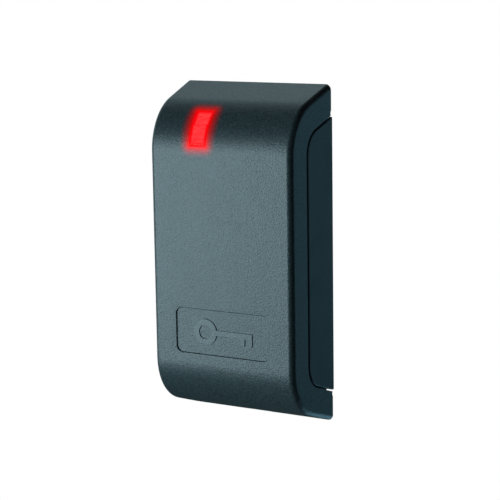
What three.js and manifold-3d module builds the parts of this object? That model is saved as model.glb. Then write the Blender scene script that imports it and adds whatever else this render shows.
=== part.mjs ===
// A wall-mounted proximity card reader, in millimetres.
// +Z is up, the wall is the plane y = 0, and the reader's face looks along -Y.
// The origin is on the wall plane, at the middle of the base's back face.
import * as THREE from "three";
import { mergeVertices } from "three/addons/utils/BufferGeometryUtils.js";
import Module from "manifold-3d";

const wasm = await Module();
wasm.setup();

// ---- Driving dimensions ----

// Outer form: a slab with round top and bottom corners, whose ends slope back to the wall.
const height = 102;
const backWidth = 50; // across the sides, at the wall
const frontWidth = 47.8; // across the sides, at the front face
const depth = 23.2; // wall to front face
const endSlope = THREE.MathUtils.degToRad(19.1); // of the top and bottom faces, from square to the wall
const cornerRadius = 16.3; // between the front face and each sloping end
const edgeRadius = 1.7; // round where the front and ends meet the sides

// Front cover
const coverWall = 2;
const sideBand = 8.85; // depth of the cover's side flange, to the middle of the parting gap
const partingGap = 0.5; // between the cover's flange and the base's side panel
const coverStandoff = 0.4; // the cover's back edge stops this far from the wall
const tipNotchRadius = 1.2; // small round bite at the wall, where each parting gap ends
const tipNotchBehind = 0.45; // how far behind the wall plane its axis lies
const tipNotchLift = 0.75; // from the gap's end to its axis
const slotWidth = 8; // screwdriver slot in the bottom end, for prising the cover off
const slotDepth = 1.6;
const detentLength = 6;
const detentRise = 0.25; // how far each click bump stands out of the cover's flange
const detentRadius = 0.8;
const detentZ = 20; // height of the upper bumps above the middle, and of the lower ones below it
const detentY = -16;

// Badge: a sunk panel with round corners, low on the front face
const badgeWidth = 31.9;
const badgeHeight = 13.7;
const badgeRadius = 2;
const badgeDepth = 0.4;
const badgeFromEnd = 29.08; // from the reader's bottom to the badge's middle
const emblemRise = 0.25; // plain key pictogram that stands up from the badge's floor
const emblemBowX = -5.9; // middle of the ring that forms the key's bow
const emblemBowRadius = 4;
const emblemBowHole = 2.1;
const emblemBlade = 1.7; // width of the key's blade and teeth
const emblemTipX = 10.2;
const emblemTooth = 3;

// Light window in the upper round corner. Angles are up from the forward direction.
const lightX = -7.45;
const lightWidth = 5.2;
const lightFrom = THREE.MathUtils.degToRad(8.7);
const lightTo = THREE.MathUtils.degToRad(47.7);
const lightFlange = 1; // the light pipe's inner rim, past the window all round
const lightFlangeThickness = 1.2;

// Base
const fitGap = 0.4; // between the base's walls and the inside of the cover
const baseWall = 1.8;
const baseFloor = 2.5;
const rimDepth = 17; // wall to the front of the base's rim
const panelProud = 0.1; // the side panels stand out past the cover's sides
const panelEdgeRadius = 0.5;
const screwSlotWidth = 4.5; // two upright slots for the wall screws
const screwSlotLength = 9;
const screwSlotFromEnd = 13; // from the reader's top or bottom to a slot's middle
const inletRadius = 6.5; // hole for the cable, lined by a grommet
const inletFromEnd = 25.5;

// Fits and small clearances
const restGap = 0.3; // between pieces that rest on each other
const slideGap = 0.2; // between a plunger and its bore
const hairline = 1e-3; // keeps two arcs that would meet from touching
const sharpestCorner = 0.5; // smallest round corner in the coil

// Flats that stand in for a full turn
const largeRound = 40;
const mediumRound = 28;
const smallRound = 20;
const tinyRound = 16;
const curveSteps = 9; // and for a corner of the outer profile
const plateSteps = 6; // and for a corner of a flat piece
const bevelSteps = 4;

// Grommet
const grommetBore = 4.5;
const grommetFlangeRadius = 8.2;
const grommetFlangeThickness = 1.4;

// Circuit board
const boardBack = -9; // where its rear face lies
const boardThickness = 1.6;
const boardEdgeGap = 0.5; // from the board's sides to the base's walls
const boardTopFromEnd = 20;
const boardBottomFromEnd = 21.5;
const boardCorner = 1.5;
const notchHalfWidth = 8.5; // cable notch in the lower edge
const notchGap = 0.7; // from the notch's top to the terminal block
const tabHalfWidth = 4.4; // narrow tab that carries the lights up behind their window
const tabEndGap = 1.2;

// Board fixings: four long screws hold the coil former and the board to bosses in the base
const bossRadius = 2.9;
const fixingShankRadius = 1.15;
const fixingHeadRadius = 2.25;
const fixingHeadHeight = 1.7;
const fixingBite = 4.4; // how far the shank goes into its boss
const fixingSlotWidth = 0.6; // screwdriver slot, the same on every screw here
const fixingSlotDepth = 0.8;

// Antenna: a rectangular coil wound in the channel of a plastic former
const coilEdgeGap = 0.5; // from the former's sides to the base's walls
const coilFromEnd = 21; // from the reader's top or bottom to the former
const coilCorner = 5;
const formerBand = 4; // width of the former's ring, outside to inside
const formerThickness = 3;
const formerHeadroom = 0.5; // from the board screws' heads to the inside of the cover
const formerLip = 0.6; // thickness of the channel's two side walls
const channelDepth = 1.6;
const leadNotchHalf = 3; // half the height of the notch that the lead wires leave by
const leadSpacing = 3;
const leadRadius = 0.35;
const leadInset = 1.7; // from the board's edge to where the wires meet it
const leadRise = 2; // how far the wires stand straight up from the board
const leadSteps = 10; // along a wire

// Screw terminal block with rising clamps. Each chamber opens downwards for its wire.
const terminalCount = 5;
const terminalPitch = 5;
const terminalFromEnd = 41.4; // from the reader's bottom to the block's top
const terminalTall = 8.5; // upright size
const terminalHeadroom = 1.1; // from the block to the inside of the cover
const terminalFloor = 0.6; // plastic between a chamber and the board
const terminalWall = 1.2; // between neighbouring chambers
const terminalRoof = 1.4; // above a chamber
const terminalLedge = 0.6; // carries a screw's head
const terminalWellDepth = 2.4;
const terminalWellRadius = 1.9;
const terminalScrewRadius = 1.6;
const terminalScrewHead = 1.6; // head height
const terminalShankRadius = 0.95;
const clampTall = 3; // upright size of a clamp
const clampRise = 1.2; // how far a clamp climbs as its screw is tightened
const clampNutWall = 1; // wall that the screw turns in
const clampWall = 0.5;

// Parts on the board: middle across and up from the reader's middle, then width, height and rise
const boardParts = [
  { name: "microcontroller", x: -8, z: 3.5, width: 10, tall: 10, rise: 1.5 },
  { name: "radio_chip", x: -9, z: 17, width: 10.3, tall: 7.5, rise: 2.4 },
  { name: "interface_driver", x: -15.2, z: 10.6, width: 4.4, tall: 5.2, rise: 1.6 },
  { name: "voltage_regulator", x: 13.2, z: -4.6, width: 6.6, tall: 6.2, rise: 2.3 },
  { name: "matching_capacitor_1", x: 2.6, z: 13.4, width: 2, tall: 1.3, rise: 1 },
  { name: "matching_capacitor_2", x: -3, z: 11.5, width: 2, tall: 1.3, rise: 1 },
  { name: "crystal", x: -13, z: -5.6, width: 11, tall: 4.6, rise: 3.6 },
  { name: "tuning_capacitor", x: 2.6, z: 18, width: 7.2, tall: 5, rise: 6.5 },
];
const suppressorWidth = 3.2;
const suppressorTall = 5.2;
const suppressorRise = 2;
const suppressorGap = 0.5; // beside the terminal block
const canX = 4.4; // reservoir capacitor
const canZ = -4.9;
const canRadius = 3.15;
const canRise = 7.7;
const sounderX = 8.8;
const sounderZ = 6.5;
const sounderRadius = 6;
const sounderRise = 5.5;
const sounderHoleRadius = 1;
const sounderHoleDepth = 1.5;

// Tamper switch, pressed by a boss inside the cover
const tamperX = 10.5;
const tamperZ = 18; // up from the middle
const tamperBody = 6;
const tamperHeight = 3.6;
const tamperPlungerRadius = 1.6;
const tamperPlungerReach = 4.7; // how far the plunger stands out of the switch
const tamperTravel = 0.8;
const tamperFloor = 0.6; // plastic under the plunger
const tamperBossRadius = 2.4;

// ---- Materials ----

const finish = (color, roughness, metalness = 0) =>
  new THREE.MeshStandardMaterial({ color, roughness, metalness });
const coverPlastic = finish(0x2f383b, 0.48);
const basePlastic = finish(0x1c2427, 0.5);
const lightPlastic = finish(0xff2a2a, 0.2);
const boardLaminate = finish(0x1d5a35, 0.4);
const whitePlastic = finish(0xd8d6cc, 0.5);
const blackPlastic = finish(0x17181a, 0.45);
const greenPlastic = finish(0x2c8a4a, 0.4);
const copper = finish(0xb4683a, 0.3, 1);
const steel = finish(0xb9bcc0, 0.3, 1);
const brightMetal = finish(0xc8c6bd, 0.35, 1);
const rubber = finish(0x141414, 0.85);
const ledLens = finish(0xf2efe4, 0.2);
const ceramic = finish(0xa98a63, 0.5);
const filmCase = finish(0xb33a24, 0.4);

const boardPartMaterials = {
  matching_capacitor_1: ceramic,
  matching_capacitor_2: ceramic,
  crystal: brightMetal,
  tuning_capacitor: filmCase,
};

// ---- Solids ----

const solid = (geometry) => {
  const bare = geometry.index ? geometry.toNonIndexed() : geometry.clone();
  for (const name of Object.keys(bare.attributes)) {
    if (name !== "position") bare.deleteAttribute(name);
  }
  const merged = mergeVertices(bare, 1e-4);
  return new wasm.Manifold(
    new wasm.Mesh({
      numProp: 3,
      vertProperties: merged.attributes.position.array,
      triVerts: new Uint32Array(merged.index.array),
    }),
  );
};

const geometryOf = (made) => {
  const mesh = made.getMesh();
  const points = new Float32Array(mesh.numVert * 3);
  for (let i = 0; i < mesh.numVert; i++) {
    points.set(mesh.vertProperties.subarray(i * mesh.numProp, i * mesh.numProp + 3), i * 3);
  }
  const geometry = new THREE.BufferGeometry();
  geometry.setAttribute("position", new THREE.BufferAttribute(points, 3));
  geometry.setIndex(new THREE.BufferAttribute(mesh.triVerts, 1));
  geometry.computeVertexNormals();
  return geometry;
};

const reader = new THREE.Group();
const addPart = (name, made, material) => {
  const mesh = new THREE.Mesh(geometryOf(made), material);
  mesh.name = name;
  reader.add(mesh);
};

// A box from its middle in x and z, its two y faces, and its sizes.
const block = (x, z, sizeX, sizeZ, back, front) =>
  solid(new THREE.BoxGeometry(sizeX, back - front, sizeZ).translate(x, (back + front) / 2, z));

// A round bar along Y.
const bar = (x, z, radius, back, front, sides = mediumRound) =>
  solid(
    new THREE.CylinderGeometry(radius, radius, back - front, sides).translate(x, (back + front) / 2, z),
  );

// A shape drawn in the side view (y, z), extruded across the reader and centred on `middle`.
const acrossBasis = new THREE.Matrix4().makeBasis(
  new THREE.Vector3(0, 1, 0),
  new THREE.Vector3(0, 0, 1),
  new THREE.Vector3(1, 0, 0),
);
const across = (shape, width, { round = 0, middle = 0, curveSegments = curveSteps } = {}) =>
  new THREE.ExtrudeGeometry(shape, {
    depth: width - 2 * round,
    curveSegments,
    bevelEnabled: round > 0,
    bevelThickness: round,
    bevelSize: round,
    bevelOffset: -round,
    bevelSegments: bevelSteps,
  })
    .translate(0, 0, middle - (width - 2 * round) / 2)
    .applyMatrix4(acrossBasis);

// A shape drawn in the front view (x, z), extruded from its back face towards the front.
const upright = new THREE.Matrix4().makeBasis(
  new THREE.Vector3(1, 0, 0),
  new THREE.Vector3(0, 0, 1),
  new THREE.Vector3(0, -1, 0),
);
const plate = (shape, back, front, curveSegments = plateSteps) =>
  solid(
    new THREE.ExtrudeGeometry(shape, { depth: back - front, curveSegments, bevelEnabled: false })
      .applyMatrix4(upright)
      .translate(0, back, 0),
  );

// The sides lean in towards the front, so widths shrink with distance from the wall.
const taper = (geometry) => {
  const at = geometry.getAttribute("position");
  const lean = (backWidth - frontWidth) / (backWidth * depth);
  for (let i = 0; i < at.count; i++) at.setX(i, at.getX(i) * (1 + lean * at.getY(i)));
  return geometry;
};

// ---- Outer profile, seen from the side ----

const arcY = cornerRadius - depth;
const arcZ = height / 2 + (arcY * Math.sin(endSlope) - cornerRadius) / Math.cos(endSlope);

// The outline set in by `inset` all round except at the back, which is at `backY`.
const sideProfile = (inset, backY) => {
  const radius = cornerRadius - inset;
  const slopeEnd = height / 2 - inset / Math.cos(endSlope) + backY * Math.tan(endSlope);
  const tangentY = arcY - radius * Math.sin(endSlope);
  const tangentZ = arcZ + radius * Math.cos(endSlope);
  const shape = new THREE.Shape();
  shape.moveTo(backY, slopeEnd);
  shape.lineTo(tangentY, tangentZ);
  shape.absarc(arcY, arcZ, radius, Math.PI / 2 + endSlope, Math.PI, false);
  shape.absarc(arcY, -arcZ, radius, Math.PI, 1.5 * Math.PI - endSlope, false);
  shape.lineTo(backY, -slopeEnd);
  shape.closePath();
  return shape;
};

// A band of the upper round corner between two radii and two angles.
const cornerBand = (outer, inner, from, to) => {
  const shape = new THREE.Shape();
  shape.absarc(arcY, arcZ, outer, Math.PI - from, Math.PI - to, true);
  shape.absarc(arcY, arcZ, inner, Math.PI - to, Math.PI - from, false);
  shape.closePath();
  return shape;
};

const roundedRectangle = (left, bottom, width, tall, radius) => {
  const right = left + width;
  const top = bottom + tall;
  const shape = new THREE.Shape();
  shape.moveTo(left + radius, bottom);
  shape.lineTo(right - radius, bottom);
  shape.absarc(right - radius, bottom + radius, radius, -Math.PI / 2, 0, false);
  shape.lineTo(right, top - radius);
  shape.absarc(right - radius, top - radius, radius, 0, Math.PI / 2, false);
  shape.lineTo(left + radius, top);
  shape.absarc(left + radius, top - radius, radius, Math.PI / 2, Math.PI, false);
  shape.lineTo(left, bottom + radius);
  shape.absarc(left + radius, bottom + radius, radius, Math.PI, 1.5 * Math.PI, false);
  return shape;
};

// ---- Places that follow from the outer form ----

const coverInnerFront = coverWall - depth;
const coreInset = coverWall + fitGap; // from the outside to the base's outer wall
const hollowInset = coreInset + baseWall; // and to the base's hollow
const halfWidthAt = (y) => (backWidth + ((backWidth - frontWidth) * y) / depth) / 2;
const hollowHalfWidthAt = (y) => ((backWidth / 2 - hollowInset) * halfWidthAt(y)) / (backWidth / 2);

// Height of the base's hollow above the middle at a distance from the wall.
const hollowTopAt = (y) => {
  const radius = cornerRadius - hollowInset;
  const onSlope = y > arcY - radius * Math.sin(endSlope);
  return onSlope
    ? height / 2 - hollowInset / Math.cos(endSlope) + y * Math.tan(endSlope)
    : arcZ + Math.sqrt(Math.max(radius ** 2 - (y - arcY) ** 2, 0));
};

const screwSlotZ = height / 2 - screwSlotFromEnd;
const inletZ = inletFromEnd - height / 2;
const badgeZ = badgeFromEnd - height / 2;
const boardFront = boardBack - boardThickness;
const boardHalfWidth = hollowHalfWidthAt(boardFront) - boardEdgeGap;
const boardTop = height / 2 - boardTopFromEnd;
const boardBottom = boardBottomFromEnd - height / 2;
const tabTop = hollowTopAt(boardFront) - tabEndGap;
const terminalTop = terminalFromEnd - height / 2;
const notchTop = terminalTop - terminalTall - notchGap;
const formerFront = coverInnerFront + formerHeadroom + fixingHeadHeight + restGap;
const formerBack = formerFront + formerThickness;
const coilWidth = 2 * (hollowHalfWidthAt(-rimDepth) - coilEdgeGap);
const coilHeight = height - 2 * coilFromEnd;
const fixingX = coilWidth / 2 - channelDepth - bossRadius; // the bosses stand inside the winding
const fixingZ = coilHeight / 2 - channelDepth - bossRadius;
const terminalFront = coverInnerFront + terminalHeadroom;
const tamperBodyFront = boardFront - tamperHeight;
const tamperPlungerFront = tamperBodyFront - tamperPlungerReach;

const overcut = 6; // how far a cutter runs past the face that it cuts
const behind = (y) => block(0, 0, 2 * backWidth, 2 * height, y + 2 * overcut, y);

// Click bumps on the cover's flanges, and the dimples in the base that they sit in.
const detents = (radius) => {
  const flange = halfWidthAt(detentY) - coverWall;
  const middle = flange + detentRadius - detentRise;
  const made = [];
  for (const side of [-1, 1]) {
    for (const up of [-1, 1]) {
      const length = detentLength + 2 * (radius - detentRadius);
      made.push(
        solid(
          new THREE.CylinderGeometry(radius, radius, length, tinyRound)
            .rotateX(Math.PI / 2)
            .translate(side * middle, detentY, up * detentZ),
        ),
      );
    }
  }
  return wasm.Manifold.union(made);
};

// Round bites at the wall in both sides, mostly out of the tips of the cover's flanges.
const tipNotches = () => {
  const axisZ = height / 2 - sideBand / Math.cos(endSlope) + tipNotchLift;
  const made = [];
  for (const side of [-1, 1]) {
    for (const up of [-1, 1]) {
      made.push(
        solid(
          new THREE.CylinderGeometry(tipNotchRadius, tipNotchRadius, 2 * coverWall, smallRound)
            .rotateZ(Math.PI / 2)
            .translate((side * backWidth) / 2, tipNotchBehind, up * axisZ),
        ),
      );
    }
  }
  return wasm.Manifold.union(made);
};

// ---- Front cover and light pipe ----

const makeEmblem = () => {
  const floor = badgeDepth - depth;
  const back = floor + coverWall / 2;
  const front = floor - emblemRise;
  const bladeFrom = emblemBowX + emblemBowHole + emblemBlade / 2;
  const blade = block((bladeFrom + emblemTipX) / 2, badgeZ, emblemTipX - bladeFrom, emblemBlade, back, front);
  let key = bar(emblemBowX, badgeZ, emblemBowRadius, back, front)
    .subtract(bar(emblemBowX, badgeZ, emblemBowHole, back + overcut, front - overcut, smallRound))
    .add(blade);
  for (const step of [1, 3]) {
    const x = emblemTipX - (step * emblemBlade) / 2 - (step > 1 ? emblemBlade / 2 : 0);
    key = key.add(block(x, badgeZ - emblemTooth / 2, emblemBlade, emblemTooth, back, front));
  }
  return key;
};

const makeCover = () => {
  const outside = solid(taper(across(sideProfile(0, overcut), backWidth, { round: edgeRadius })));
  const inside = solid(taper(across(sideProfile(coverWall, overcut), backWidth - 2 * coverWall)));
  const sideOpening = solid(across(sideProfile(sideBand - partingGap / 2, overcut), 2 * backWidth));
  const angleGap = restGap / cornerRadius;
  const window = solid(
    across(
      cornerBand(
        cornerRadius + coverWall,
        cornerRadius - 2 * coverWall,
        lightFrom - angleGap,
        lightTo + angleGap,
      ),
      lightWidth + 2 * restGap,
      { middle: lightX },
    ),
  );
  const badge = plate(
    roundedRectangle(-badgeWidth / 2, badgeZ - badgeHeight / 2, badgeWidth, badgeHeight, badgeRadius),
    badgeDepth - depth,
    -depth - overcut,
  ).subtract(makeEmblem());
  const slot = block(0, coverWall - height / 2, slotWidth, 2 * overcut, overcut, -slotDepth);
  const tamperBoss = bar(
    tamperX,
    tamperZ,
    tamperBossRadius,
    tamperPlungerFront - restGap,
    coverInnerFront - coverWall / 2,
  );
  return outside
    .subtract(inside)
    .subtract(sideOpening)
    .subtract(window)
    .subtract(badge)
    .subtract(slot)
    .subtract(behind(-coverStandoff))
    .subtract(tipNotches())
    .add(tamperBoss)
    .add(detents(detentRadius));
};

const pipeInnerRadius = cornerRadius - coverWall - restGap - lightFlangeThickness;
const pipeSpread = (restGap + lightFlange) / cornerRadius; // angle that the rim adds at each end

const makeLightPipe = () => {
  const plug = solid(
    across(cornerBand(cornerRadius, pipeInnerRadius, lightFrom, lightTo), lightWidth, { middle: lightX }),
  );
  const flange = solid(
    across(
      cornerBand(
        pipeInnerRadius + lightFlangeThickness,
        pipeInnerRadius,
        lightFrom - pipeSpread,
        lightTo + pipeSpread,
      ),
      lightWidth + 2 * (restGap + lightFlange),
      { middle: lightX },
    ),
  );
  return plug.add(flange);
};

// ---- Base ----

const wallScrewSlot = (z) =>
  plate(
    roundedRectangle(
      -screwSlotWidth / 2,
      z - screwSlotLength / 2,
      screwSlotWidth,
      screwSlotLength,
      screwSlotWidth / 2 - hairline,
    ),
    overcut,
    -baseFloor - overcut,
  );

const fixings = [
  ["top_left", -fixingX, fixingZ],
  ["top_right", fixingX, fixingZ],
  ["bottom_left", -fixingX, -fixingZ],
  ["bottom_right", fixingX, -fixingZ],
];

// The rim is notched where the light pipe passes it.
const pipeBack = arcY - pipeInnerRadius * Math.cos(lightTo + pipeSpread);
const pipeRelief = () => {
  const width = lightWidth + 2 * (restGap + lightFlange + fitGap);
  return block(lightX, height / 2, width, height / 2, pipeBack + fitGap, -depth);
};

const makeBase = () => {
  const panelInset = sideBand + partingGap / 2;
  const core = solid(taper(across(sideProfile(coreInset, 0), backWidth - 2 * coreInset))).subtract(
    block(0, 0, 2 * backWidth, 2 * height, -rimDepth, -2 * depth),
  );
  const panels = solid(
    taper(
      across(sideProfile(panelInset, overcut), backWidth + 2 * panelProud, { round: panelEdgeRadius }),
    ),
  ).subtract(behind(0));
  const hollow = solid(
    taper(
      across(sideProfile(hollowInset, -baseFloor), backWidth - 2 * hollowInset),
    ),
  );
  const sidePockets = solid(
    taper(across(sideProfile(panelInset + baseWall, -baseFloor), backWidth - 2 * baseWall)),
  );
  let base = core.add(panels).subtract(hollow).subtract(sidePockets);
  for (const [, x, z] of fixings) {
    base = base
      .add(bar(x, z, bossRadius, -baseFloor / 2, boardBack + restGap))
      .subtract(bar(x, z, fixingShankRadius + restGap, -baseFloor, boardBack - overcut));
  }
  return base
    .subtract(pipeRelief())
    .subtract(wallScrewSlot(screwSlotZ))
    .subtract(wallScrewSlot(-screwSlotZ))
    .subtract(bar(0, inletZ, inletRadius, overcut, -baseFloor - overcut, largeRound))
    .subtract(tipNotches())
    .subtract(detents(detentRadius + fitGap));
};

const makeGrommet = () => {
  const neck = inletRadius - restGap;
  const seat = baseFloor + restGap;
  const top = seat + grommetFlangeThickness;
  const profile = [
    new THREE.Vector2(grommetBore, restGap),
    new THREE.Vector2(neck, restGap),
    new THREE.Vector2(neck, seat),
    new THREE.Vector2(grommetFlangeRadius, seat),
    new THREE.Vector2(grommetFlangeRadius, top),
    new THREE.Vector2(grommetBore, top),
    new THREE.Vector2(grommetBore, restGap),
  ];
  return solid(new THREE.LatheGeometry(profile, largeRound).rotateX(Math.PI).translate(0, 0, inletZ));
};

// ---- Circuit board ----

const makeBoard = () => {
  const body = roundedRectangle(
    -boardHalfWidth,
    boardBottom,
    2 * boardHalfWidth,
    boardTop - boardBottom,
    boardCorner,
  );
  const tab = roundedRectangle(
    lightX - tabHalfWidth,
    boardTop - overcut,
    2 * tabHalfWidth,
    tabTop - boardTop + overcut,
    boardCorner,
  );
  const notch = roundedRectangle(
    -notchHalfWidth,
    boardBottom - overcut,
    2 * notchHalfWidth,
    notchTop - boardBottom + overcut,
    boardCorner,
  );
  let board = plate(body, boardBack, boardFront)
    .add(plate(tab, boardBack, boardFront))
    .subtract(plate(notch, boardBack + overcut, boardFront - overcut));
  for (const [, x, z] of fixings) {
    board = board.subtract(
      bar(x, z, fixingShankRadius + restGap, boardBack + overcut, boardFront - overcut),
    );
  }
  return board;
};

// ---- Antenna ----

const coilRing = (outset, thickness, back, front) => {
  const ring = (shrink) =>
    roundedRectangle(
      shrink - coilWidth / 2,
      shrink - coilHeight / 2,
      coilWidth - 2 * shrink,
      coilHeight - 2 * shrink,
      Math.max(coilCorner - shrink, sharpestCorner),
    );
  return plate(ring(outset), back, front).subtract(
    plate(ring(outset + thickness), back + overcut, front - overcut),
  );
};

const makeFormer = () => {
  const channelBack = formerBack - formerLip;
  const channelFront = formerFront + formerLip;
  const channel = coilRing(-overcut, overcut + channelDepth, channelBack, channelFront);
  let former = coilRing(0, formerBand, formerBack, formerFront);
  for (const [, x, z] of fixings) {
    former = former.add(bar(x, z, bossRadius, boardFront - restGap, formerFront));
  }
  former = former.subtract(channel);
  for (const [, x, z] of fixings) {
    former = former.subtract(
      bar(x, z, fixingShankRadius + restGap, boardFront + overcut, formerFront - overcut),
    );
  }
  const leadNotch = block(
    coilWidth / 2,
    0,
    2 * channelDepth,
    2 * leadNotchHalf,
    formerBack + overcut,
    formerFront + formerLip,
  );
  return former.subtract(leadNotch);
};

const windingBack = formerBack - formerLip - restGap;
const windingFront = formerFront + formerLip + restGap;

const makeWinding = () =>
  coilRing(restGap, channelDepth - 2 * restGap, windingBack, windingFront);

const makeLead = (z) => {
  const startX = coilWidth / 2 - channelDepth / 2;
  const route = new THREE.CatmullRomCurve3([
    new THREE.Vector3(startX, windingBack + restGap, z),
    new THREE.Vector3(startX, formerBack + formerLip + restGap, z),
    new THREE.Vector3(boardHalfWidth - leadInset, boardFront - leadRise, z),
    new THREE.Vector3(boardHalfWidth - leadInset, boardFront - restGap, z),
  ]);
  const section = new THREE.Shape();
  section.absarc(0, 0, leadRadius, 0, 2 * Math.PI, false);
  return solid(
    new THREE.ExtrudeGeometry(section, {
      steps: leadSteps,
      curveSegments: bevelSteps,
      bevelEnabled: false,
      extrudePath: route,
    }),
  );
};

const makeFixing = (x, z) => {
  const headBack = formerFront - restGap;
  const headFront = headBack - fixingHeadHeight;
  const shankTip = boardBack + restGap + fixingBite;
  return bar(x, z, fixingHeadRadius, headBack, headFront)
    .add(bar(x, z, fixingShankRadius, shankTip, headBack - fixingHeadHeight / 2, tinyRound))
    .subtract(
      block(x, z, 4 * fixingHeadRadius, fixingSlotWidth, headFront + fixingSlotDepth, headFront - overcut),
    );
};

// ---- Light source ----

const ledCount = 3;
const ledGap = 0.6; // between neighbours, and half of it at each end
const ledSizeX = 3.2;
const ledHeight = 1.1;
const shroudWall = 0.9;
const shroudLap = 0.2; // how far its lower wall stands up past the window's lower edge
const shroudCore = 0.5; // radius of the hole in the half disc that trims it, behind the board
const shroudSteps = 16;
const shroudBottom = arcZ + pipeInnerRadius * Math.sin(lightFrom) - shroudWall + shroudLap;
const shroudTop = hollowTopAt(pipeBack + fitGap) - fitGap;
const ledMiddleZ = (shroudBottom + shroudTop) / 2;
const ledPitch = (shroudTop - shroudBottom - 2 * shroudWall) / ledCount;

const makeShroud = () => {
  const outerWidth = lightWidth + 2 * restGap + 2 * shroudWall;
  const tall = shroudTop - shroudBottom;
  const tube = block(lightX, ledMiddleZ, outerWidth, tall, boardFront, -depth).subtract(
    block(
      lightX,
      ledMiddleZ,
      outerWidth - 2 * shroudWall,
      tall - 2 * shroudWall,
      boardFront + overcut,
      -depth - overcut,
    ),
  );
  const reach = cornerBand(pipeInnerRadius - restGap, shroudCore, -Math.PI / 2, Math.PI / 2);
  return tube.intersect(solid(across(reach, 2 * backWidth, { curveSegments: shroudSteps })));
};

// ---- Board parts ----

const onBoard = (x, z, sizeX, sizeZ, tall) => block(x, z, sizeX, sizeZ, boardFront, boardFront - tall);

const makeSounder = () => {
  const front = boardFront - sounderRise;
  return bar(sounderX, sounderZ, sounderRadius, boardFront, front, largeRound).subtract(
    bar(sounderX, sounderZ, sounderHoleRadius, front + sounderHoleDepth, front - overcut, tinyRound),
  );
};

const suppressorX = (terminalCount * terminalPitch) / 2 + suppressorGap + suppressorWidth / 2;
const terminalX = (index) => (index - (terminalCount - 1) / 2) * terminalPitch;
const chamberBack = boardFront - terminalFloor;
const ledgeFront = terminalFront + terminalWellDepth;
const chamberFront = ledgeFront + terminalLedge;
const chamberWidth = terminalPitch - terminalWall;
const chamberTop = terminalTop - terminalRoof;
const clampZ = chamberTop - restGap - clampTall / 2;
const clampBack = chamberBack - restGap;
const clampFront = chamberFront + restGap + clampRise; // its rest place, wound right down
const shankEnd = clampBack - clampRise - clampWall - restGap; // clear of the clamp when it is up

const makeTerminalBlock = () => {
  const bottom = terminalTop - terminalTall;
  let body = block(
    0,
    terminalTop - terminalTall / 2,
    terminalCount * terminalPitch,
    terminalTall,
    boardFront,
    terminalFront,
  );
  for (let i = 0; i < terminalCount; i++) {
    const x = terminalX(i);
    const below = bottom - overcut;
    body = body
      .subtract(
        block(x, (chamberTop + below) / 2, chamberWidth, chamberTop - below, chamberBack, chamberFront),
      )
      .subtract(bar(x, clampZ, terminalWellRadius, ledgeFront, terminalFront - overcut, smallRound))
      .subtract(bar(x, clampZ, terminalShankRadius + restGap, chamberBack, terminalFront, tinyRound));
  }
  return body;
};

const makeTerminalScrew = (index) => {
  const x = terminalX(index);
  const seat = ledgeFront - restGap;
  const front = seat - terminalScrewHead;
  return bar(x, clampZ, terminalScrewRadius, seat, front, smallRound)
    .add(bar(x, clampZ, terminalShankRadius, shankEnd, seat - terminalScrewHead / 2, tinyRound))
    .subtract(
      block(x, clampZ, 4 * terminalScrewRadius, fixingSlotWidth, front + fixingSlotDepth, front - overcut),
    );
};

const makeClamp = (index) => {
  const x = terminalX(index);
  const width = chamberWidth - 2 * restGap;
  const hollowBack = clampBack - clampWall;
  const hollowFront = clampFront + clampNutWall;
  return block(x, clampZ, width, clampTall, clampBack, clampFront)
    .subtract(block(x, clampZ, width - 2 * clampWall, 2 * clampTall, hollowBack, hollowFront))
    .subtract(bar(x, clampZ, terminalShankRadius + restGap, hollowFront, clampFront - overcut, tinyRound));
};

const makeTamperSwitch = () => {
  const boreBack = boardFront - tamperFloor;
  const boreRadius = tamperPlungerRadius + slideGap;
  return onBoard(tamperX, tamperZ, tamperBody, tamperBody, tamperHeight).subtract(
    bar(tamperX, tamperZ, boreRadius, boreBack, tamperBodyFront - overcut, smallRound),
  );
};

const makeTamperPlunger = () =>
  bar(
    tamperX,
    tamperZ,
    tamperPlungerRadius,
    boardFront - tamperFloor - restGap - tamperTravel,
    tamperPlungerFront,
    smallRound,
  );

// ---- Assembly ----

addPart("front_cover", makeCover(), coverPlastic);
addPart("light_pipe", makeLightPipe(), lightPlastic);
addPart("base_housing", makeBase(), basePlastic);
addPart("cable_grommet", makeGrommet(), rubber);
addPart("circuit_board", makeBoard(), boardLaminate);
addPart("coil_former", makeFormer(), whitePlastic);
addPart("antenna_winding", makeWinding(), copper);
addPart("antenna_lead_start", makeLead(leadSpacing / 2), copper);
addPart("antenna_lead_end", makeLead(-leadSpacing / 2), copper);
for (const [corner, x, z] of fixings) addPart(`board_screw_${corner}`, makeFixing(x, z), steel);
addPart("light_shroud", makeShroud(), blackPlastic);
for (let i = 0; i < ledCount; i++) {
  const z = ledMiddleZ + ((ledCount - 1) / 2 - i) * ledPitch;
  addPart(`status_led_${i + 1}`, onBoard(lightX, z, ledSizeX, ledPitch - ledGap, ledHeight), ledLens);
}
for (const { name, x, z, width, tall, rise } of boardParts) {
  addPart(name, onBoard(x, z, width, tall, rise), boardPartMaterials[name] ?? blackPlastic);
}
addPart(
  "surge_suppressor",
  onBoard(suppressorX, terminalTop - suppressorTall / 2, suppressorWidth, suppressorTall, suppressorRise),
  blackPlastic,
);
addPart("reservoir_capacitor", bar(canX, canZ, canRadius, boardFront, boardFront - canRise), brightMetal);
addPart("sounder", makeSounder(), blackPlastic);
addPart("terminal_block", makeTerminalBlock(), greenPlastic);
for (let i = 0; i < terminalCount; i++) {
  addPart(`terminal_screw_${i + 1}`, makeTerminalScrew(i), steel);
  addPart(`terminal_clamp_${i + 1}`, makeClamp(i), brightMetal);
}
addPart("tamper_switch", makeTamperSwitch(), blackPlastic);
addPart("tamper_plunger", makeTamperPlunger(), whitePlastic);

export default reader;
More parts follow.
